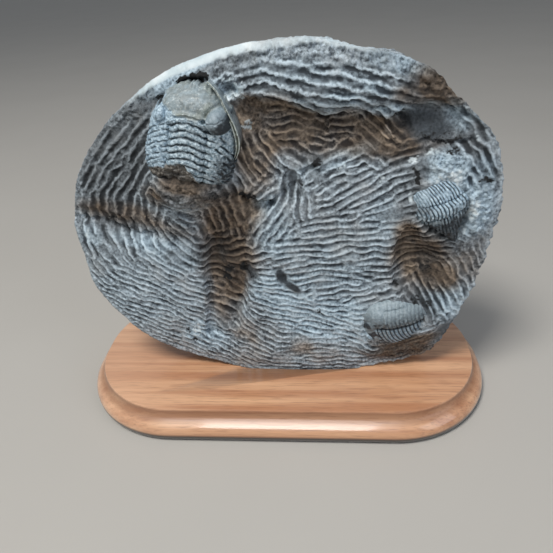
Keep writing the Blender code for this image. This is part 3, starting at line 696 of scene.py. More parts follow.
# Painted shade: hollows, the strip under the broken ledges and the ground below the large fossil darkened
# where shadow falls, with some patches of darker stone
SHADES = (
    (-31, 147, 13, 4, -4, 0.9), (-51, 144, 13, 4, -6, 0.5), (-58, 149, 13, 7, -8, 0.6),
    (73, 107, 4, 9, 0, 0.9), (76, 196, 13, 5, -10, 0.3), (114, 161, 6, 9, -20, 0.7),
    (118, 150, 7, 5, -10, 0.8), (-30, 84, 11, 16, 6, 0.4), (-93, 164, 26, 22, 45, 0.6),
    (-66, 198, 8, 7, 38, 0.5), (-10, 217, 9, 5, 10, 0.6), (55, 217, 10, 5, -14, 0.6),
    (76, 200, 9, 7, -30, 0.6), (96, 173, 9, 5, -10, 0.6), (-84, 120, 8, 5, -10, 0.4),
    (-107, 121, 7, 5, 0, 0.4), (-63, 103, 8, 6, -30, 0.4), (-17, 85, 6, 6, 0, 0.5),
    (-39, 55, 7, 10, 0, 0.5), (90, 66, 11, 9, -10, 1.0), (54, 36, 8, 4, -10, 0.5),
    (100, 56, 9, 8, -30, 0.5), (60, 68, 12, 4, 15, 0.5), (24, 157, 9, 4, 10, 0.6),
    (107, 128, 3, 6, 0, 0.4), (7, 171, 10, 6, -20, 0.5), (24, 164, 12, 5, -5, 0.6),
    (54, 169, 18, 5, 5, 0.6), (82, 168, 16, 5, 5, 0.7), (-68, 200, 8, 7, 38, 0.8),
    (-75, 156, 10, 8, 0, 0.4), (-58, 102, 14, 6, -10, 0.5), (-22, 86, 7, 9, 0, 0.9),
    (90, 68, 8, 5, -10, 0.6), (61, 31, 10, 5, -10, 0.6), (82, 136, 4, 8, 10, 0.8),
    (122, 150, 5, 10, 10, 0.5), (56, 218, 14, 5, -14, 0.5), (86, 201, 16, 8, -30, 0.6),
    (-46, 158, 20, 5, -8, 0.6), (94, 87, 6.5, 5.5, 0, 2.0), (101, 82, 14, 12, 0, 0.5),
    (2, 89, 3.0, 6.0, 15, 0.8), (9, 81, 6, 2.6, -35, 0.8), (74, 81, 6, 2.5, -15, 1.0),
    (4, 34, 2.5, 3.0, 0, 0.8), (8, 47, 3, 2, 0, 0.7), (83, 43, 19, 5.5, 10, 1.0),
    (-72, 199, 16, 8, 38, 0.9), (-97, 183, 10, 12, 50, 0.5), (24, 161, 9, 4, 10, 0.8),
    (-47, 151, 20, 13, -10, 0.3), (113, 165, 8, 5, -40, 0.9), (117, 150, 5, 5, 0, 1.0),
    (85, 171, 10, 3, 5, 0.8), (77, 174, 10, 4, 0, 0.6), (80, 152, 5, 7, 20, 0.8),
    (119, 150, 7, 12, 10, 0.5), (-97, 124, 14, 6, -10, 0.6), (-60, 104, 9, 9, 0, 0.5),
    (-32, 60, 9, 10, 0, 0.5), (84, 73, 9, 8, 0, 0.6), (92, 199, 14, 8, -34, 0.5),
    (-90, 172, 38, 25, 48, 1.0), (-94, 137, 30, 9, -6, 0.65), (-30, 112, 18, 28, 0, 0.35),
    (90, 180, 25, 13, -14, 0.85), (74, 162, 12, 10, 0, 0.6), (77, 138, 8, 14, 0, 0.8),
    (112, 178, 9, 11, -35, 0.6), (-33, 98, 10, 14, 0, 0.6), (-30, 78, 7, 8, 0, 0.4),
    (91, 100, 10, 10, 0, 0.9), (60, 45, 10, 6, 0, 0.5), (80, 69, 20, 8, -6, 0.7),
    (-60, 117, 10, 6, 0, 0.45), (-98, 126, 18, 4, -10, 0.55), (-47, 104, 7, 12, 0, 0.45),
    (86, 204, 20, 9, -30, 0.55), (-20, 219, 18, 6, 15, 0.5), (56, 166, 14, 6, -20, 0.4),
    (-44, 145, 20, 8, -10, 0.25), (20, 188, 20, 4, -14, 0.4), (98, 108, 16, 5, -10, 0.6),
    (18, 168, 22, 8, 0, 0.45), (80, 34, 23, 9, 4, 0.95), (112, 112, 10, 22, 10, 0.3),
    (-8, 188, 8, 12, 0, 0.5),
)
# Bare flat slate, painted dark grey; in the scoop under the upper ledge this darkness is painted shade as
# well
SLATES = (
    (-20.5, 204.8, 4.2, 3.4, 0, 0.6), (85, 180, 17, 9, -16, 0.9), (68, 131, 9, 5, 5, 0.4),
    (84, 155, 4, 3, 0, 0.7), (-17, 90, 5, 6, 10, 0.8), (2, 89, 3.2, 6.2, 15, 1.8),
    (9, 81, 6.2, 2.7, -35, 1.6), (84, 160, 4, 4, 0, 0.6), (11, 153, 3.5, 5.5, 0, 0.9),
    (26, 153, 6, 3, -5, 0.4), (28, 80, 6, 3, 0, 0.3), (-103, 108, 10, 3, -10, 0.3),
    (104, 48, 7, 13, -32, 0.7),
)
# Pale dust of the chiselling, settled on the crests, and painted light on the lips of the broken ledges,
# where they face the lamps above
DUST_AND_LIGHT = (
    (30, 58, 40, 14, -6, 0.5), (-22, 202, 8, 5, 0, 0.9), (22, 192, 12, 4, -20, 0.6),
    (57, 201, 10, 4, -16, 0.6), (67, 188, 8, 4, 0, 0.6), (95, 154, 10, 5, 0, 1.0),
    (113, 133, 6, 8, 0, 0.8), (-57, 48, 8, 12, 0, 0.9), (-48, 142, 16, 7, -10, 0.5),
    (-85, 116, 22, 5, -12, 0.5), (-22, 203, 9, 8, 0, 0.8), (-34, 219, 10, 4, 15, 0.8),
    (23, 191, 10, 4, -20, 0.8), (42, 196, 14, 5, -10, 0.7), (67, 186, 7, 5, -20, 0.9),
    (-5, 138, 7, 6, 40, 0.7), (-1, 74, 14, 7, -5, 0.9), (19, 70, 12, 7, -5, 0.8),
    (-53, 51, 9, 8, 0, 0.6), (111, 129, 6, 10, 10, 0.6), (101, 182, 9, 6, -35, 1.0),
    (66, 214, 20, 5, -16, 0.8), (25, 190, 14, 4, -20, 0.5), (76, 186, 8, 3, -10, 0.5),
    (97, 152, 10, 6, 0, 0.8), (15, 31, 16, 6, 0, 0.4), (0, 80, 20, 14, 0, 1.0),
    (36, 57, 38, 18, -5, 1.0), (30, 104, 34, 24, 0, 0.4), (18, 60, 24, 9, -10, 0.8),
    (113, 138, 12, 26, 0, 1.0), (95, 159, 14, 9, 0, 1.0), (-66, 108, 22, 12, -20, 0.6),
    (24, 210, 40, 8, -8, 0.35), (104, 70, 13, 12, -20, 0.8), (-2, 120, 12, 20, 10, 0.5),
    (-46, 42, 12, 10, 0, 0.7), (-86, 80, 38, 32, 20, 0.3), (62, 122, 12, 22, 0, 0.4),
    (-52, 209, 22, 5, 25, 1.0), (-17.5, 200.5, 4, 2.0, -35, 1.0), (34, 162, 26, 5, 18, 0.6),
    (118, 150, 6, 16, 0, 0.7), (-114, 118, 8, 8, 0, 0.5), (24, 193, 16, 4, -14, 0.8),
    (64, 189, 12, 3.5, 0, 0.8), (104, 188, 12, 4, -35, 0.7), (-8, 139, 7, 5, 45, 0.8),
    (36, 84, 24, 13, 0, 0.4),
)
# Painted shadow: ragged holes and gaps painted near black, too deep for light
HOLES = (
    (88, 173.5, 14, 2.8, 4, 0.68), (104, 173, 6, 2, 20, 0.6), (-21, 92, 3.4, 5, 0, 0.72),
    (92, 69, 3.4, 3, 30, 0.75), (-31, 146.5, 11, 2.8, -4, 0.62), (118, 149.5, 7, 2.0, -12, 0.9),
    (72, 106, 1.8, 7, 0, 0.5), (-62, 142, 1.6, 7, -10, 0.6), (-71, 147, 3, 5, 20, 0.5),
    (-98, 129, 10, 1.3, -16, 0.75), (-61, 50, 2.0, 4.0, 20, 0.75), (-59, 42, 3.0, 1.6, -20, 0.75),
    (-50, 37, 4.0, 1.4, -30, 0.7), (-57.5, 199, 2.6, 5.5, -15, 1.1), (-71, 197, 17, 8, 38, 0.5),
    (-8, 190, 8, 12, 0, 0.35), (-40, 209, 9.5, 4.2, 8, 1.3), (-34, 211, 4, 3, 0, 1.0),
    (-15, 143, 7, 3.2, -25, 1.0), (-3, 139, 8, 1.4, 28, 0.8), (80.5, 153, 2.2, 6, 18, 1.1),
    (91, 90, 6, 5.5, 0, 0.66), (99, 166.5, 6, 1.8, 8, 0.8), (84, 71, 5, 4, 0, 0.7),
    (-33, 86, 5, 8, 0, 0.8), (-27, 92, 6, 3, 0, 0.6), (-30, 62, 3, 6, 10, 0.6),
    (70, 186, 8, 2, 30, 0.8), (96, 170.5, 9, 1.5, 2, 0.8), (24.5, 161, 5, 3.2, 0, 0.9),
    (26, 62, 1.3, 3.6, 40, 0.9), (72, 82, 5, 1.6, -15, 0.8), (16, 151, 2.5, 2.5, 0, 0.7),
    (-17, 87, 4, 3, -30, 0.7), (-88, 122, 10, 1.6, -14, 0.7), (77, 124, 2.5, 8, 5, 0.6),
    (81, 121.5, 3, 3, 0, 0.7),
)
# Fresh white chips
CHIPS = (
    (78.5, 162, 3.2, 2.0, 20, 1.5), (88, 166, 3.6, 1.5, 20, 1.3), (78, 141, 1.6, 3.2, 20, 1.4),
    (-13.2, 199.4, 1.3, 2.6, 10, 1.2), (-14.6, 204.2, 2.0, 3.6, -20, 1.6),
    (-20.5, 200.8, 6, 1.5, -6, 1.5), (-20.5, 209.4, 4, 1.3, 0, 1.1), (97, 152, 11, 5, 12, 0.95),
    (111, 134, 5, 8, 0, 0.95), (106, 119, 3, 5, -30, 0.8), (-55, 49, 3.4, 7, 0, 0.8),
    (-12, 183.5, 3.4, 3.4, 30, 1.1), (112, 172, 3.0, 1.2, -50, 0.9), (60, 152, 6.0, 1.2, -38, 0.7),
    (-2, 147, 3.0, 1.2, 30, 0.7), (40, 160, 3.4, 1.1, 25, 0.8), (-116, 120, 3.2, 5.0, 0, 0.6),
)
# Where the stone broke in rough lumps and no chisel was used
RUBBLES = (
    (-47, 147, 22, 13, -10, 1.0), (-9, 190, 9, 13, 0, 1.0), (-12, 218, 24, 5, 10, 0.8),
    (16, 222, 26, 5, 0, 1.0), (48, 218, 24, 5, -12, 1.0), (-70, 199, 13, 6, 36, 0.9),
    (-84, 190, 12, 5, 44, 0.6), (80, 207, 16, 7, -28, 0.8), (117, 134, 8, 24, 0, 1.0),
    (96, 160, 13, 8, 0, 1.0), (110, 106, 8, 8, 0, 0.6), (96, 200, 16, 8, -38, 0.7),
    (-70, 196, 14, 7, 36, 0.7), (80, 34, 22, 7, 4, 0.6), (60, 46, 10, 6, 0, 0.7),
    (-40, 212, 8, 4, 0, 0.6), (-25, 84, 8, 8, 0, 0.6),
)
# The beds of the fossils are kept below their shells
BEDS = ((-42, 180, 19, 24, -12.6, 1.0), (97, 132, 13, 16, 20, 1.0), (72, 57, 17, 11, 8, 1.0))
BED_DEPTH = 9.0
RIM_DROP = 1.2


def slab_face(x, z, reach):
    """The face's y in mm, before the strokes are pressed in."""
    relief = face_relief(x, z, reach) - BED_DEPTH * cover(x, z, BEDS)
    return face_plane(z) - (relief - RIM_DROP * smooth_step(0.9, 1.0, reach))


vertices, faces, face_count = slab_shell(
    FRONT_CELLS, BACK_CELLS, SIDE_RINGS, slab_face, BREAK_ROUGHNESS)
face_x, face_z = vertices[:face_count, 0], vertices[:face_count, 2]
smooth = cover(face_x, face_z, SMOOTH_FORMS)
wave, stroke_depth, stroke_turn = chisel(face_x, face_z)
streak = stroke_streaks(face_x, face_z, stroke_turn, 1.8, 2.8, 91.0)
broken = 0.8 + 0.9 * stroke_streaks(face_x, face_z, stroke_turn, 2.6, 3.4, 95.0)
stroke_depth = stroke_depth * np.clip(broken, 0.0, 1.5)
rubble = cover(face_x, face_z, RUBBLES)
# Holes and chips have torn outlines, so their forms are read at places shifted a little
torn_x = face_x + 2.2 * grit(face_x, face_z, 4.0, 3, seed=121.0)
torn_z = face_z + 2.2 * grit(face_x, face_z, 4.0, 3, seed=123.0)
vertices[:face_count, 1] -= (0.45 * streak * (1.0 - smooth)
                             + 2.6 * rubble * grit(face_x, face_z, 3.4, 4, seed=101.0))
stroke_depth = stroke_depth * (1.0 - 0.85 * rubble)
across, upward = square_grid(FRONT_CELLS)
to_rim = np.maximum(np.abs(across), np.abs(upward))
bearing = np.degrees(np.arctan2(vertices[:, 2] - SLAB_CENTRE[1], vertices[:, 0] - SLAB_CENTRE[0]))
# The sawn edge is painted near white: paler cut stone, with painted light where it faces the lamps above;
# the fresh chips join the same mark
shows, clean, fades, gone = SAWN_SPREAD
sawn = smooth_step(shows, clean, bearing) * smooth_step(gone, fades, bearing)
sawn += 0.55 * smooth_step(58.0, 66.0, bearing) * smooth_step(clean, shows, bearing)
sawn[:face_count] *= smooth_step(0.985, 0.997, to_rim)  # the front keeps only its very rim
sawn[face_count + 4 * FRONT_CELLS * (SIDE_RINGS - 1):] = 0.0  # and the back none
sawn[:face_count] += 0.85 * smooth_step(0.5, 1.1, forms(torn_x, torn_z, CHIPS)
                                        * (1.0 + 2.0 * grit(face_x, face_z, 1.9, 3, seed=125.0)))
# The sides and the back weathered in broad patches
back_x, back_z = vertices[face_count:, 0], vertices[face_count:, 2]
back_stain = 0.5 * smooth_step(-0.1, 0.6, grit(back_x, back_z, 44.0, 4, seed=141.0))
back_shade = 0.6 * smooth_step(-0.3, 0.5, grit(back_x, 1.5 * back_z, 36.0, 4, seed=143.0))
back_dust = 0.8 * smooth_step(-0.2, 0.6, grit(back_x, back_z, 24.0, 4, seed=145.0))
all_smooth = np.append(smooth, np.zeros(len(vertices) - face_count))
slate = cover(face_x, face_z, SLATES)
slab = stone_object("chiselled_slab", vertices, faces, {
    "wave_x": wave.real,
    "wave_y": wave.imag,
    "relief": stroke_depth * (1.0 - smooth) * smooth_step(1.0, 0.97, to_rim),
    "smooth": np.maximum(all_smooth, 0.8 * sawn),
    "streak": streak,
    "slate": slate,
    "shade": np.append(0.85 * cover(face_x, face_z, SHADES), back_shade),
    "stain": np.append(cover(face_x, face_z, STAINS), back_stain),
    "dust_and_light": np.append(cover(face_x, face_z, DUST_AND_LIGHT) * (1.0 - slate), back_dust),
    "sawn": sawn,
    "hole": cover(torn_x, torn_z, HOLES),
})
furrows = furrow_tree()
slab = through_tree(slab, furrows, {
    "Depth": 1.2 * MM, "Power": 2.0, "Bias": 0.7, "Chatter": 1.0 * MM, "Chatter Scale": 400.0,
    "Material": limestone})
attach(slab, "root")
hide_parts("matrix_slab")

# ---------------------------------------------------------------- large trilobite
# A calcite shell 50 mm wide, freed by needle from the matrix: a smooth swollen head with two
# eyes, then a ringed thorax whose ribs sweep back down both flanks.  Its tail is still under a
# lumpy brown crust.  Stations run from 0 at the front of the head to 1 at the tail.
LARGE = {
    "place": (-42.0, 180.0), "turn": -12.6, "half_width": 25.2, "length": 58.0, "sunk": 4.0,
    "edge": 9.0, "arch": 0.5, "head_end": 0.34, "head_round": 17.0, "tail_round": 5.0,
    "ring_lag": 3.5, "widths": ((0.0, 0.80), (0.30, 0.92), (0.60, 1.0), (0.86, 0.97), (1.0, 0.86)),
    "crown": ((0.0, 6.0), (0.05, 15.0), (0.13, 19.2), (0.24, 20.4), (0.32, 20.8), (0.55, 21.8),
              (0.76, 22.0), (0.90, 18.0), (0.97, 11.0), (1.0, 4.0)),
    "pinch": 0.0, "cells": (230, 170), "chatter": 0.7, "rib_depth": 1.5,
}
WALL_FOOT = 0.4  # how far a shell's base stands off its seat


def along_stations(stations, value):
    """Read a rounded line through (place, value) pairs at every value of an array."""
    shifts = np.linspace(-0.04, 0.04, 9)
    places, values = zip(*stations)
    return sum(np.interp(value + shift, places, values) for shift in shifts) / len(shifts)


def bump_at(u, v, middle_u, middle_v, radius_u, radius_v, rise):
    """A half ellipsoid that stands on the shell."""
    inside = 1.0 - ((u - middle_u) / radius_u) ** 2 - ((v - middle_v) / radius_v) ** 2
    return rise * np.sqrt(np.maximum(0.0, inside))


def moat(u, v, middle_u, middle_v, radius_u, radius_v, width, depth):
    """A furrow round an ellipse; its width is a share of the radii."""
    away = np.hypot((u - middle_u) / radius_u, (v - middle_v) / radius_v)
    return -depth * np.exp(-((away - 1.0) / width) ** 2)


def seat_of(fossil):
    """The y of the flat that a fossil sits on."""
    return face_plane(fossil["place"][1]) + fossil["sunk"]


def to_slab(fossil, across, down):
    """Slab x and z of places given across and down a fossil."""
    swing = math.radians(fossil["turn"])
    return (fossil["place"][0] + across * math.cos(swing) + down * math.sin(swing),
            fossil["place"][1] + across * math.sin(swing) - down * math.cos(swing))


def shell_piece(name, node, fossil, dress, material):
    """A closed shell: its back from (station, side), walled down to a flat base in its bed.

    dress gives, from (across, down) in mm and the side from -1 to 1, the height to add and the
    attributes, among them "rings", which counts ribs, and "relief"."""
    rows, columns = fossil["cells"]
    station, side = (grid.ravel() for grid in np.meshgrid(
        np.linspace(0.0, 1.0, rows + 1), np.linspace(-1.0, 1.0, columns + 1), indexing="ij"))
    head = smooth_step(0.0, fossil["head_end"], station)
    tail = smooth_step(fossil["head_end"], 1.0, station) ** 2
    lag = np.where(station < fossil["head_end"],
                   fossil["head_round"] * (1.0 - head) + fossil["ring_lag"] * head,
                   fossil["ring_lag"] * (1.0 - tail) - fossil["tail_round"] * tail)
    across = fossil["half_width"] * along_stations(fossil["widths"], station) * side
    across = across * (1.0 + 0.035 * grit(fossil["length"] * station, 3.0 * side, 3.5, 2, seed=14.0))
    down = fossil["length"] * (station - 0.5) + lag * (1.0 - np.sqrt(1.0 - 0.96 * side ** 2))
    down = down * (1.0 - fossil["pinch"] * smooth_step(0.1, -1.0, side))
    down = down + (fossil["length"] / 30.0 * grit(across, 2.0 * station, 2.6, 2, seed=17.0)
                   * (2.0 * station - 1.0) ** 14)
    crown = along_stations(fossil["crown"], station)
    edge = np.minimum(fossil["edge"], crown)
    height = edge + (crown - edge) * (1.0 - np.abs(side) ** 2.6) ** fossil["arch"]
    extra, attributes = dress(across, down, side)
    x, z = to_slab(fossil, across, down)
    back = np.column_stack((x, seat_of(fossil) - height - extra, z))
    faces = [(a, d, c, b) for a, b, c, d in grid_faces(columns, rows)]
    loop = [j * (columns + 1) + i for i, j in border_of(columns, rows)]
    total, count = len(back), len(loop)
    wall = back[loop].copy()
    wall[:, 1] = seat_of(fossil) - WALL_FOOT
    faces += [(loop[p], loop[(p + 1) % count], total + (p + 1) % count, total + p)
              for p in range(count)]
    faces.append([total + p for p in range(count)])
    rings = attributes.pop("rings")
    attributes["wave_x"] = np.cos(math.tau * rings)
    attributes["wave_y"] = np.sin(math.tau * rings)
    piece = stone_object(name, np.vstack((back, wall)), faces, attributes)
    piece = through_tree(piece, furrows, {
        "Depth": -fossil["rib_depth"] * MM, "Power": 3.0, "Bias": 0.25,
        "Chatter": fossil["chatter"] * MM, "Chatter Scale": 900.0, "Material": material})
    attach(piece, "root")
    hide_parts(node)


# Fossil calcite: blue-grey shell with pale veins on its ridges and near-black furrows; the smooth head is
# olive grey and finely speckled, and crust still on it is brown. On the large shell the pale and dark
# marks are painted light on its left flank and painted shade in its eye, hole and lower right.
shell_stone, tree, shader = new_material("fossil_calcite", Roughness=0.55, Specular_IOR_Level=0.45)
coordinates = add_node(tree, "ShaderNodeTexCoord", out="Object")
marks = {name: add_node(tree, "ShaderNodeAttribute", out="Fac", attribute_name=name)
         for name in ("wave_x", "wave_y", "relief", "smooth", "olive", "pale", "dark", "crust")}
furrow = add_node(tree, "ShaderNodeMath", {0: marks["wave_y"], 1: marks["wave_x"]},
                  operation="ARCTAN2")
furrow = add_node(tree, "ShaderNodeMath", {0: furrow}, operation="ABSOLUTE")
furrow = add_node(tree, "ShaderNodeMapRange", {"Value": furrow, "From Min": 1.2, "From Max": 2.9},
                  interpolation_type="SMOOTHSTEP")
furrow = add_node(tree, "ShaderNodeMath", {0: furrow, 1: marks["relief"]}, operation="MULTIPLY")
plain = add_node(tree, "ShaderNodeMath", {0: marks["smooth"], 1: 0.7}, operation="MULTIPLY")
vein = add_node(tree, "ShaderNodeMix", {
    0: plain, 2: mottling(tree, coordinates, 1.5, 4.0, 0.35, 0.68), 3: 0.5})
shell, pale, olive, tinted, night = (
    add_node(tree, "ShaderNodeMix", {0: vein, 6: deep, 7: bright}, 2, data_type="RGBA")
    for deep, bright in (("687f8d", "d2e3ec"), ("7890a3", "c8deec"), ("76848a", "aab9bf"),
                         ("7b816f", "a4aa98"), ("0f151a", "39434b")))
mottle = add_node(tree, "ShaderNodeMath", {
    0: mottling(tree, coordinates, 3.2, 3.0, 0.60, 0.40), 1: -0.45, 2: 0.45},
    operation="MULTIPLY_ADD")
for share, colour in ((mottling(tree, coordinates, 11.0, 2.0, 0.45, 0.75), tinted),
                      (mottling(tree, coordinates, 1.1, 3.0, 0.54, 0.72), "d9e0de"),
                      (mottle, "62625a")):
    olive = add_node(tree, "ShaderNodeMix", {0: share, 6: olive, 7: colour}, 2, data_type="RGBA")
crust = add_node(tree, "ShaderNodeMix", {
    0: 0.5, 6: mottling(tree, coordinates, 9.0, 3.0, 0.3, 0.7), 7: vein}, 2, data_type="RGBA")
crust = add_node(tree, "ShaderNodeMix", {0: crust, 6: "2f2b27", 7: "7e7972"}, 2, data_type="RGBA")
for share, colour in ((marks["pale"], pale), (marks["olive"], olive), (furrow, "263640"),
                      (marks["dark"], night), (marks["crust"], crust)):
    shell = add_node(tree, "ShaderNodeMix", {0: share, 6: shell, 7: colour}, 2, data_type="RGBA")
tree.links.new(shell, shader.inputs["Base Color"])
grain = add_node(tree, "ShaderNodeBump", {
    "Height": mottling(tree, coordinates, 0.8, 4.0), "Strength": 0.45, "Distance": 0.5 * MM}, "Normal")
tree.links.new(grain, shader.inputs["Normal"])

RIGHT_EYE = (14.6, -13.8)  # across and down from the middle of the shell
LEFT_EYE = (-18.6, -12.6)
AXIS_HALF_WIDTH = 9.7


def dress_large(u, v, side):
    """Head, eyes, neck rings, ringed axis and swept ribs of the large shell."""
    bent_u = u + 0.5 * grit(u, v, 5.0, 2, seed=3.0)
    bent_v = v + 0.5 * grit(u, v, 5.0, 2, seed=4.0)
    middle = u + 1.0
    aside = np.abs(middle) / AXIS_HALF_WIDTH
    flank = np.clip((np.abs(middle) - AXIS_HALF_WIDTH) / 15.8, 0.0, 1.2)
    sweep = 3.4 * np.minimum(1.0, aside) ** 2 - 3.4 + 10.0 * flank ** 1.9
    straight = bent_v - sweep
    thorax = smooth_step(-10.5, -8.5, straight)
    border = 15.0 + 8.0 * smooth_step(-3.0, 10.0, u) + 1.2 * grit(u, v, 3.0, 2, seed=5.0)
    crust = smooth_step(-0.5, 0.9, straight - border)
    round_head = (np.abs((bent_u - 1.4) / 19.5) ** 2.4 + np.abs((bent_v + 22.8) / 10.2) ** 2.4)
    round_head = round_head + 0.22 * grit(u, v, 2.4, 2, seed=7.0)
    dome = np.clip(1.0 - round_head, 0.0, 1.0)
    eye = bump_at(u, v, *RIGHT_EYE, 7.0, 7.0, 1.0)
    other_eye = bump_at(u, v, *LEFT_EYE, 4.4, 4.6, 1.0)
    add = np.maximum(1.2 * dome, 6.0 * eye) + 3.0 * other_eye
    add -= 0.5 * np.exp(-((round_head - 1.05) / 0.10) ** 2) * smooth_step(-24.0, -19.0, v)
    add += moat(u, v, *RIGHT_EYE, 7.5, 7.5, 0.16, 1.5) * smooth_step(4.0, -4.0, u + v - 0.8)
    add += moat(u, v, *LEFT_EYE, 4.9, 5.1, 0.16, 1.0)
    hole = bump_at(bent_u, bent_v, -18.8, -19.6, 2.3, 4.2, 1.0)
    add -= 6.5 * hole
    add += (2.2 * np.sqrt(np.maximum(0.0, 1.0 - aside ** 2))
            * smooth_step(-17.0, -9.0, v) * (1.0 - crust))
    add -= 1.4 * np.exp(-((np.abs(middle) - 10.0) / 1.0) ** 2) * thorax * (1.0 - crust)
    neck = smooth_step(12.0, 8.5, np.abs(middle)) * (1.0 - thorax)
    for row, width, rise in ((-15.2, 0.9, 1.5), (-12.0, 1.2, 2.0)):
        add += rise * neck * np.exp(-((bent_v - 1.6 * aside ** 2 - row) / width) ** 2)
    for pit_u, pit_v, radius, depth in ((6.2, -12.8, 1.4, 1.8), (3.6, -9.6, 1.0, 1.2),
                                        (-8.2, -11.5, 1.1, 1.2), (-5.8, -7.2, 0.9, 0.9),
                                        (9.6, -3.0, 0.9, 1.0), (10.0, 4.6, 0.9, 1.0)):
        add -= bump_at(u, v, pit_u, pit_v, radius, radius, depth)
    add += crust * (2.2 * grit(u, v, 4.2, 4, seed=9.0) + 1.0)
    left = middle < -10.0
    weather = smooth_step(-0.2, 0.5, grit(u, v, 4.0, 2, seed=15.0))
    lens = np.clip(2.5 * eye, 0.0, 1.0)
    head = smooth_step(0.0, 0.3, dome) * (1.0 - lens)
    add += 0.5 * grit(u, v, 1.7, 2, seed=21.0) * (1.0 - 0.75 * np.maximum(head, lens))
    # Painted shadow over the lower right of the right eye, ragged at its edge
    shadow = smooth_step(-2.4, 2.4, (u - RIGHT_EYE[0]) * 0.75 + (v - RIGHT_EYE[1]) * 0.55
                         + 2.4 * grit(u, v, 1.8, 3, seed=8.0))
    # Painted shade on the lower right of the shell
    low_right_shade = (smooth_step(11.0, 21.0, u) * smooth_step(0.0, 10.0, v)
                 * (1.0 + 0.8 * grit(u, v, 2.6, 3, seed=19.0)))
    pleurae = smooth_step(9.5, 11.0, np.abs(middle))
    fine = 0.10 * grit(u, v, 2.4, 2, seed=33.0)
    return add, {
        "rings": ((straight + 9.3) / 3.75 + fine) * (1.0 + 0.25 * left),
        "relief": (thorax * (1.0 - crust) * (1.0 - 0.4 * left)
                   * (1.0 - 0.75 * weather * pleurae - 0.35 * weather)),
        "smooth": np.maximum(0.8 * head, 0.9 * lens), "olive": 0.9 * head, "crust": crust,
        # the eye's lens darkened, most on its lower right as painted shadow; painted shade in the hole
        # and on the lower right
        "dark": np.clip(np.maximum(lens * (0.35 + 0.65 * shadow), 2.0 * hole)
                        + 0.9 * low_right_shade, 0.0, 1.0),
        # painted light on the left flank, which faces the light
        "pale": np.clip(smooth_step(-2.0, -16.0, u) + 0.35 * other_eye, 0.0, 1.0) * (1.0 - head),
    }


shell_piece("large_shell", "trilobite_large", LARGE, dress_large, shell_stone)

# ---------------------------------------------------------------- broken rim of the large shell
# Two thin cream layers of the shell's own edge, broken off and standing on edge along the right
# side of the head, with a groove between them.  They are one bent strip of calcite.
LAMELLA = ((5.0, -31.4, 13.0, 0.6), (9.6, -28.8, 15.0, 0.8), (13.2, -25.0, 16.5, 0.9),
           (16.6, -20.2, 17.5, 1.2), (19.8, -15.2, 17.5, 1.8), (22.5, -10.4, 17.0, 2.3),
           (24.6, -5.2, 16.0, 2.6), (25.5, -0.2, 15.0, 2.4), (25.2, 4.4, 13.5, 1.7),
           (24.2, 9.0, 11.0, 1.0))  # the strip's middle line, as (across, down, height, width)
LAMELLA_SECTION = (  # share of the width, share of the height
    (-0.5, 0.0), (-0.5, 0.90), (-0.47, 0.96), (-0.40, 1.0), (-0.28, 0.99), (-0.16, 0.93),
    (0.12, 0.91), (0.26, 0.96), (0.38, 0.98), (0.46, 0.95), (0.5, 0.89), (0.5, 0.0))


def lamella_ring(share):
    """The strip's cross-section at a share of its length, in mm."""
    last = len(LAMELLA) - 1
    index = min(int(share * last), last - 1)
    near = [LAMELLA[min(max(index + shift, 0), last)] for shift in (-1, 0, 1, 2)]
    u, v, height, width = (through_points(*values, share * last - index) for values in zip(*near))
    run = (Vector(near[2][:2]) - Vector(near[1][:2])).normalized()
    height += 0.7 * noise.noise((u / 1.3, v / 1.3, 6.0)) + 0.5 * noise.noise((u / 0.5, v / 0.5, 7.0))
    ring = []
    for across, up in LAMELLA_SECTION:
        x, z = to_slab(LARGE, u - run.y * across * width, v + run.x * across * width)
        ring.append((x, seat_of(LARGE) - height * up, z))
    return ring


LAMELLA_STEPS = 110
places = np.array([lamella_ring(step / LAMELLA_STEPS) for step in range(LAMELLA_STEPS + 1)])
width = len(LAMELLA_SECTION)
faces = [(j * width + i, j * width + (i + 1) % width, (j + 1) * width + (i + 1) % width,
          (j + 1) * width + i) for j in range(LAMELLA_STEPS) for i in range(width)]
faces += [tuple(range(width))[::-1], tuple(LAMELLA_STEPS * width + i for i in range(width))]

# Cream calcite: the shell's own broken edge, pale and slightly waxy, tinted olive in its groove.
cream, tree, shader = new_material("cream_calcite", Roughness=0.5, Specular_IOR_Level=0.5)
coordinates = add_node(tree, "ShaderNodeTexCoord", out="Object")
fleck = mottling(tree, coordinates, 1.8, 3.0, 0.35, 0.65)
fresh, olive, earthy, veined = (
    add_node(tree, "ShaderNodeMix", {0: fleck, 6: deep, 7: bright}, 2, data_type="RGBA")
    for deep, bright in (("a2adaa", "dde4dc"), ("3a4139", "6b7266"), ("2c2723", "6a6158"),
                         ("6d7a80", "b4c2c8")))
height = add_node(tree, "ShaderNodeSeparateXYZ", {0: coordinates}, "Z")
clean = add_node(tree, "ShaderNodeMapRange", {
    "Value": height, "From Min": 175.0 * MM, "From Max": 187.0 * MM})
wall = add_node(tree, "ShaderNodeMix", {0: clean, 6: earthy, 7: veined}, 2, data_type="RGBA")
layer = fresh
for name, colour in (("groove", olive), ("wall", wall)):
    share = add_node(tree, "ShaderNodeAttribute", out="Fac", attribute_name=name)
    layer = add_node(tree, "ShaderNodeMix", {0: share, 6: layer, 7: colour}, 2, data_type="RGBA")
tree.links.new(layer, shader.inputs["Base Color"])
lamella = stone_object("shell_rim", places.reshape(-1, 3), faces, {
    "groove": np.tile([abs(across) < 0.2 for across, _ in LAMELLA_SECTION], LAMELLA_STEPS + 1),
    "wall": np.tile([up < 0.905 and abs(across) == 0.5 for across, up in LAMELLA_SECTION],
                    LAMELLA_STEPS + 1)})
lamella.data.materials.append(cream)
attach(lamella, "root")

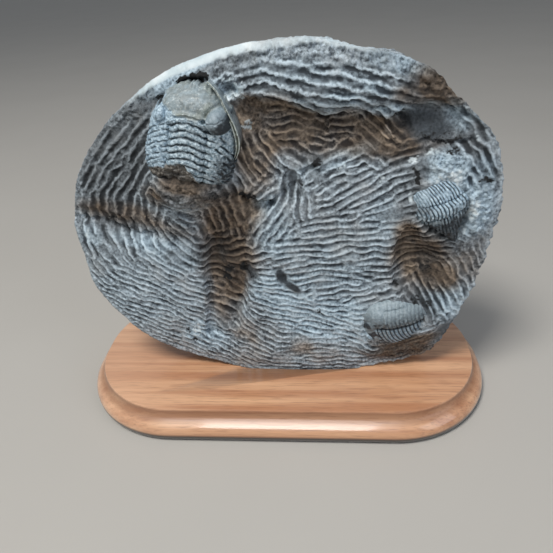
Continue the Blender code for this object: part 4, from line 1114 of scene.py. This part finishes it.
# ---------------------------------------------------------------- right trilobite
# A small rolled trilobite seen on its flank, 40 mm across: its rings run steeply up to the
# left, bright and coarse on the axis and fine and dark on both flanks.
RIGHT = {
    "place": (97.0, 132.0), "turn": 110.0, "half_width": 21.5, "length": 31.0, "sunk": 3.0,
    "edge": 4.5, "arch": 0.62, "head_end": 0.14, "head_round": 3.0, "tail_round": 3.0,
    "ring_lag": 1.0, "widths": ((0.0, 0.70), (0.22, 0.90), (0.5, 1.0), (0.78, 0.88), (1.0, 0.62)),
    "crown": ((0.0, 6.0), (0.14, 11.0), (0.45, 13.5), (0.78, 11.0), (1.0, 5.0)),
    "pinch": 0.72, "cells": (130, 150), "chatter": 0.35, "rib_depth": 0.9,
}


def dress_right(u, v, side):
    """Coarse bright bars on the axis, fine grooves on the upper flank, dark ribs on the lower."""
    middle = u - 4.0
    width = 4.4 - 0.03 * (v + 15.0)
    away = np.abs(middle) / width
    outer = np.maximum(0.0, np.abs(middle) - width)
    upper = middle > 0.0
    sweep = 1.2 * np.minimum(1.0, away) ** 2 + np.where(upper, 0.034 * outer ** 2, 0.08 * outer)
    cheek = (smooth_step(-1.0, 1.0, -7.0 - v + 0.25 * outer) * smooth_step(0.8, 1.2, away) * upper)
    add = 1.8 * np.sqrt(np.maximum(0.0, 1.0 - away ** 2))
    add -= 1.2 * np.exp(-((away - 1.05) / 0.13) ** 2) * (1.0 - cheek)
    add += 0.35 * grit(u, v, 1.6, 2, seed=25.0)
    fringe = smooth_step(0.90, 1.0, np.abs(side))
    lower = smooth_step(0.0, -5.0, u)
    weather = smooth_step(0.0, 0.6, grit(u, v, 5.0, 2, seed=27.0))
    return add, {
        "rings": ((v + sweep + 14.0 + 0.4 * grit(u, v, 4.0, 2, seed=28.0))
                  / (1.75 + 0.35 * (away < 1.0))),
        "relief": (1.0 - 0.45 * cheek) * (1.0 - fringe) * (1.0 - 0.7 * weather),
        "smooth": 0.3 * cheek, "olive": 0.1 * cheek,
        "pale": smooth_step(-3.0, 9.0, u) * (1.0 - 0.7 * smooth_step(12.0, -8.0, u) * (v < -6.0)),
        "dark": np.clip(0.9 * lower + 0.25 * smooth_step(8.0, 0.0, u) * smooth_step(2.0, 12.0, v)
                        + 0.7 * np.exp(-((u - 7.0) / 2.2) ** 2) * smooth_step(-4.0, -9.0, v)
                        + 0.5 * smooth_step(0.1, 0.5, grit(u, v, 4.0, 2, seed=29.0)) * (u < 4.0),
                        0.0, 1.0),
    }


shell_piece("right_shell", "trilobite_right", RIGHT, dress_right, shell_stone)

# ---------------------------------------------------------------- lower trilobite
# The smallest, 41 mm long, lying on its side above a brown pedestal: head to the left, a ringed
# axis over one long furrow, and a row of short ribs below it.
LOWER = {
    "place": (72.0, 57.5), "turn": 98.0, "half_width": 16.5, "length": 41.0, "sunk": 3.0,
    "edge": 4.5, "arch": 0.55, "head_end": 0.26, "head_round": 9.0, "tail_round": 8.0,
    "ring_lag": 1.6, "widths": ((0.0, 0.84), (0.45, 1.0), (0.72, 0.88), (1.0, 0.58)),
    "crown": ((0.0, 5.0), (0.12, 10.0), (0.45, 12.0), (0.75, 9.5), (1.0, 3.5)),
    "pinch": 0.0, "cells": (150, 120), "chatter": 0.35, "rib_depth": 0.8,
}


def dress_lower(u, v, side):
    """Smooth head and upper flank, the long furrow, and the short ribs below it."""
    middle = u - 4.8
    away = np.abs(middle) / 5.8
    sweep = 1.0 * np.minimum(1.0, away) ** 2 + 0.03 * np.maximum(0.0, np.abs(middle) - 5.8) ** 2
    thorax = smooth_step(-7.5, -5.5, v - sweep + 7.0 * smooth_step(0.0, -2.0, u))
    add = 1.6 * np.sqrt(np.maximum(0.0, 1.0 - away ** 2)) * thorax
    add -= 1.8 * np.exp(-((middle + 6.2) / 0.8) ** 2) * smooth_step(-14.0, -9.0, v)
    add -= 0.6 * np.exp(-((middle - 6.2) / 0.9) ** 2) * thorax
    add += bump_at(u, v, 5.6, -10.0, 6.0, 5.0, 1.6) + bump_at(u, v, 1.0, -15.6, 3.0, 3.0, 1.6)
    add += 0.3 * grit(u, v, 1.8, 2, seed=35.0)
    below = smooth_step(-1.0, -2.5, u)
    upper = smooth_step(2.0, 7.0, u)
    furrow = np.exp(-((middle + 6.2) / 0.9) ** 2) * smooth_step(-12.0, -6.0, v)
    spots = smooth_step(0.0, 0.4, grit(u, v, 4.0, 2, seed=37.0))
    return add, {
        "rings": (v - sweep + 6.0) / 2.5,
        "relief": (thorax * (1.0 - 0.6 * upper) * (0.6 + 0.4 * below)
                   * (1.0 - smooth_step(0.9, 1.0, np.abs(side)))),
        "smooth": 0.9 * np.maximum(1.0 - thorax, upper), "olive": 0.15 * (1.0 - below),
        "pale": below * smooth_step(-8.0, -2.0, v),
        "dark": np.clip(0.75 * furrow + spots * smooth_step(6.0, 0.0, u) * smooth_step(-6.0, -12.0, v)
                        + 0.20 + 0.45 * smooth_step(14.0, 2.0, u) * (1.0 - 0.5 * below), 0.0, 1.0),
    }


shell_piece("lower_shell", "trilobite_lower", LOWER, dress_lower, shell_stone)

# ---------------------------------------------------------------- wooden base
# A 19.5 mm board of reddish hardwood with half-round ends.  Its edge was routed to a cove over
# a rounded lip, and the whole was sanded and lacquered; the slab's foot sits in a close seat.
BASE_HALF_WIDTH, BASE_HALF_DEPTH, BASE_CORNER = 127.3, 62.4, 58.5
CORNER_STEPS = 32
EDGE_PROFILE = (  # how far the edge stands out from the flat top, and its height
    (4.2, 0.0), (6.4, 1.0), (7.4, 3.0), (7.6, 5.0), (7.5, 6.2), (7.2, 7.4), (6.7, 8.5),
    (6.0, 9.5), (5.1, 10.5), (4.1, 11.4), (3.2, 12.2), (2.3, 12.9), (1.5, 13.6), (0.85, 14.4),
    (0.4, 15.4), (0.12, 16.5), (0.0, 17.6), (-0.05, 18.6), (-0.35, 19.25), (-1.0, 19.5),
)
SEAT_CLEARANCE = 0.5
SEAT_CELLS, SEAT_BACK_CELLS, SEAT_RINGS = 48, 24, 3  # the seat is cut by a coarse slab
FOOT_SHADE = (6.0, 4.2)  # heights between which painted shade darkens the wood down to the foot
COVE_DULL_AND_SHADE = (11.0, 13.0, 18.0, 19.0)  # heights between which the lacquer is dull and painted shade darkens the wood


def closed_bmesh(name, bm, material):
    """Finish a closed bmesh as an object with its faces pointing out."""
    bmesh.ops.recalc_face_normals(bm, faces=bm.faces)
    mesh = bpy.data.meshes.new(name)
    bm.to_mesh(mesh)
    bm.free()
    mesh.shade_smooth()
    mesh.set_sharp_from_angle(angle=math.radians(40.0))
    mesh.materials.append(material)
    made = bpy.data.objects.new(name, mesh)
    bpy.context.scene.collection.objects.link(made)
    return made


def board_ring(stand_out, height):
    """One round of the board's edge, anticlockwise from above."""
    ring = []
    for corner, (side_x, side_y) in enumerate(((1, 1), (-1, 1), (-1, -1), (1, -1))):
        for step in range(CORNER_STEPS + 1):
            angle = math.radians(90.0 * (corner + step / CORNER_STEPS))
            reach = BASE_CORNER + stand_out
            ring.append(Vector((
                side_x * (BASE_HALF_WIDTH - BASE_CORNER) + reach * math.cos(angle),
                side_y * (BASE_HALF_DEPTH - BASE_CORNER) + reach * math.sin(angle),
                height)) * MM)
    return ring


# Lacquered cherry: straight grain along the board, brown-red with darker streaks and short pores, under a
# clear coat that mirrors softly; painted light at its left end and painted shade in the cove and at the
# foot.
cherry, tree, shader = new_material(
    "lacquered_cherry", Roughness=0.40, Coat_Weight=1.0, Coat_Roughness=0.09, Coat_IOR=1.52)
coordinates = add_node(tree, "ShaderNodeTexCoord", out="Object")
streaks, bands, pores = (
    # The coordinates are squeezed along the board, so that the pattern draws out into grain
    mottling(tree, add_node(tree, "ShaderNodeMapping", {
        "Vector": coordinates, "Scale": (1.0 / stretch, 1.0, 1.0)}), size, detail, low, high)
    for stretch, size, detail, low, high in (
        (30.0, 7.0, 3.0, 0.34, 0.66), (8.0, 26.0, 2.0, 0.3, 0.7), (14.0, 0.9, 2.0, 0.5, 0.72)))
height = add_node(tree, "ShaderNodeSeparateXYZ", {0: coordinates}, "Z")
along = add_node(tree, "ShaderNodeSeparateXYZ", {0: coordinates}, "X")
# The left end of the board is painted paler, painted light where the key lamp falls from the left, and
# the turned-in foot of the edge is painted dark as the shade beneath it
lit_left_end, foot, above, below = (
    add_node(tree, "ShaderNodeMapRange", {
        "Value": place, "From Min": start * MM, "From Max": end * MM, "To Max": most})
    for place, start, end, most in ((along, -50.0, -115.0, 0.35), (height, *FOOT_SHADE, 1.0),
                                    (height, *COVE_DULL_AND_SHADE[:2], 1.0), (height, *COVE_DULL_AND_SHADE[:1:-1], 0.85)))
cove = add_node(tree, "ShaderNodeMath", {0: above, 1: below}, operation="MULTIPLY")
# Painted shade: the wood in the cove is darkened
cove_shade = add_node(tree, "ShaderNodeMath", {0: cove, 1: 0.55}, operation="MULTIPLY")
pitted = add_node(tree, "ShaderNodeMath", {0: pores, 1: 0.35}, operation="MULTIPLY")
wood, band = (
    add_node(tree, "ShaderNodeMix", {0: streaks, 6: deep, 7: bright}, 2, data_type="RGBA")
    for deep, bright in (("be8560", "f2c299"), ("c08863", "dba67f")))
for share, colour in ((bands, band), (pitted, "7c5039"), (lit_left_end, "f0c3a4"), (foot, "2b1d15"),
                      (cove_shade, "6e4630")):
    wood = add_node(tree, "ShaderNodeMix", {0: share, 6: wood, 7: colour}, 2, data_type="RGBA")
tree.links.new(wood, shader.inputs["Base Color"])
coat = add_node(tree, "ShaderNodeMath", {0: 1.0, 1: cove}, operation="SUBTRACT")
tree.links.new(coat, shader.inputs["Coat Weight"])
sunken = add_node(tree, "ShaderNodeBump", {"Height": pores, "Strength": 0.12, "Distance": 0.2 * MM},
                  "Normal", invert=True)
tree.links.new(sunken, shader.inputs["Normal"])

bm = bmesh.new()
rings = [[bm.verts.new(place) for place in board_ring(*station)] for station in EDGE_PROFILE]
for lower, upper in zip(rings, rings[1:]):
    for index, first in enumerate(lower):
        following = (index + 1) % len(lower)
        bm.faces.new((first, lower[following], upper[following], upper[index]))
bm.faces.new(rings[0][::-1])
bm.faces.new(rings[-1])
board = closed_bmesh("wooden_board", bm, cherry)
vertices, faces, _ = slab_shell(
    SEAT_CELLS, SEAT_BACK_CELLS, SEAT_RINGS,
    lambda x, z, reach: face_plane(z) - face_relief(x, z, reach), 0.0)
bm = bmesh.new()
places = [bm.verts.new(place) for place in (vertices * MM).tolist()]
for face in faces:
    bm.faces.new([places[corner] for corner in face])
bmesh.ops.recalc_face_normals(bm, faces=bm.faces)
bm.normal_update()
for vertex, normal in [(vertex, vertex.normal.copy()) for vertex in bm.verts]:
    vertex.co += normal * SEAT_CLEARANCE * MM
foot = closed_bmesh("slab_foot", bm, cherry)
boolean = board.modifiers.new("seat", "BOOLEAN")
boolean.operation = "DIFFERENCE"
boolean.solver = "EXACT"
boolean.object = foot
board_mesh = bpy.data.meshes.new_from_object(
    board.evaluated_get(bpy.context.evaluated_depsgraph_get()))
board.modifiers.clear()
board.data = board_mesh
board_mesh.name = "wooden_board"
bpy.data.objects.remove(foot)
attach(board, "root")
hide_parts("wooden_base")
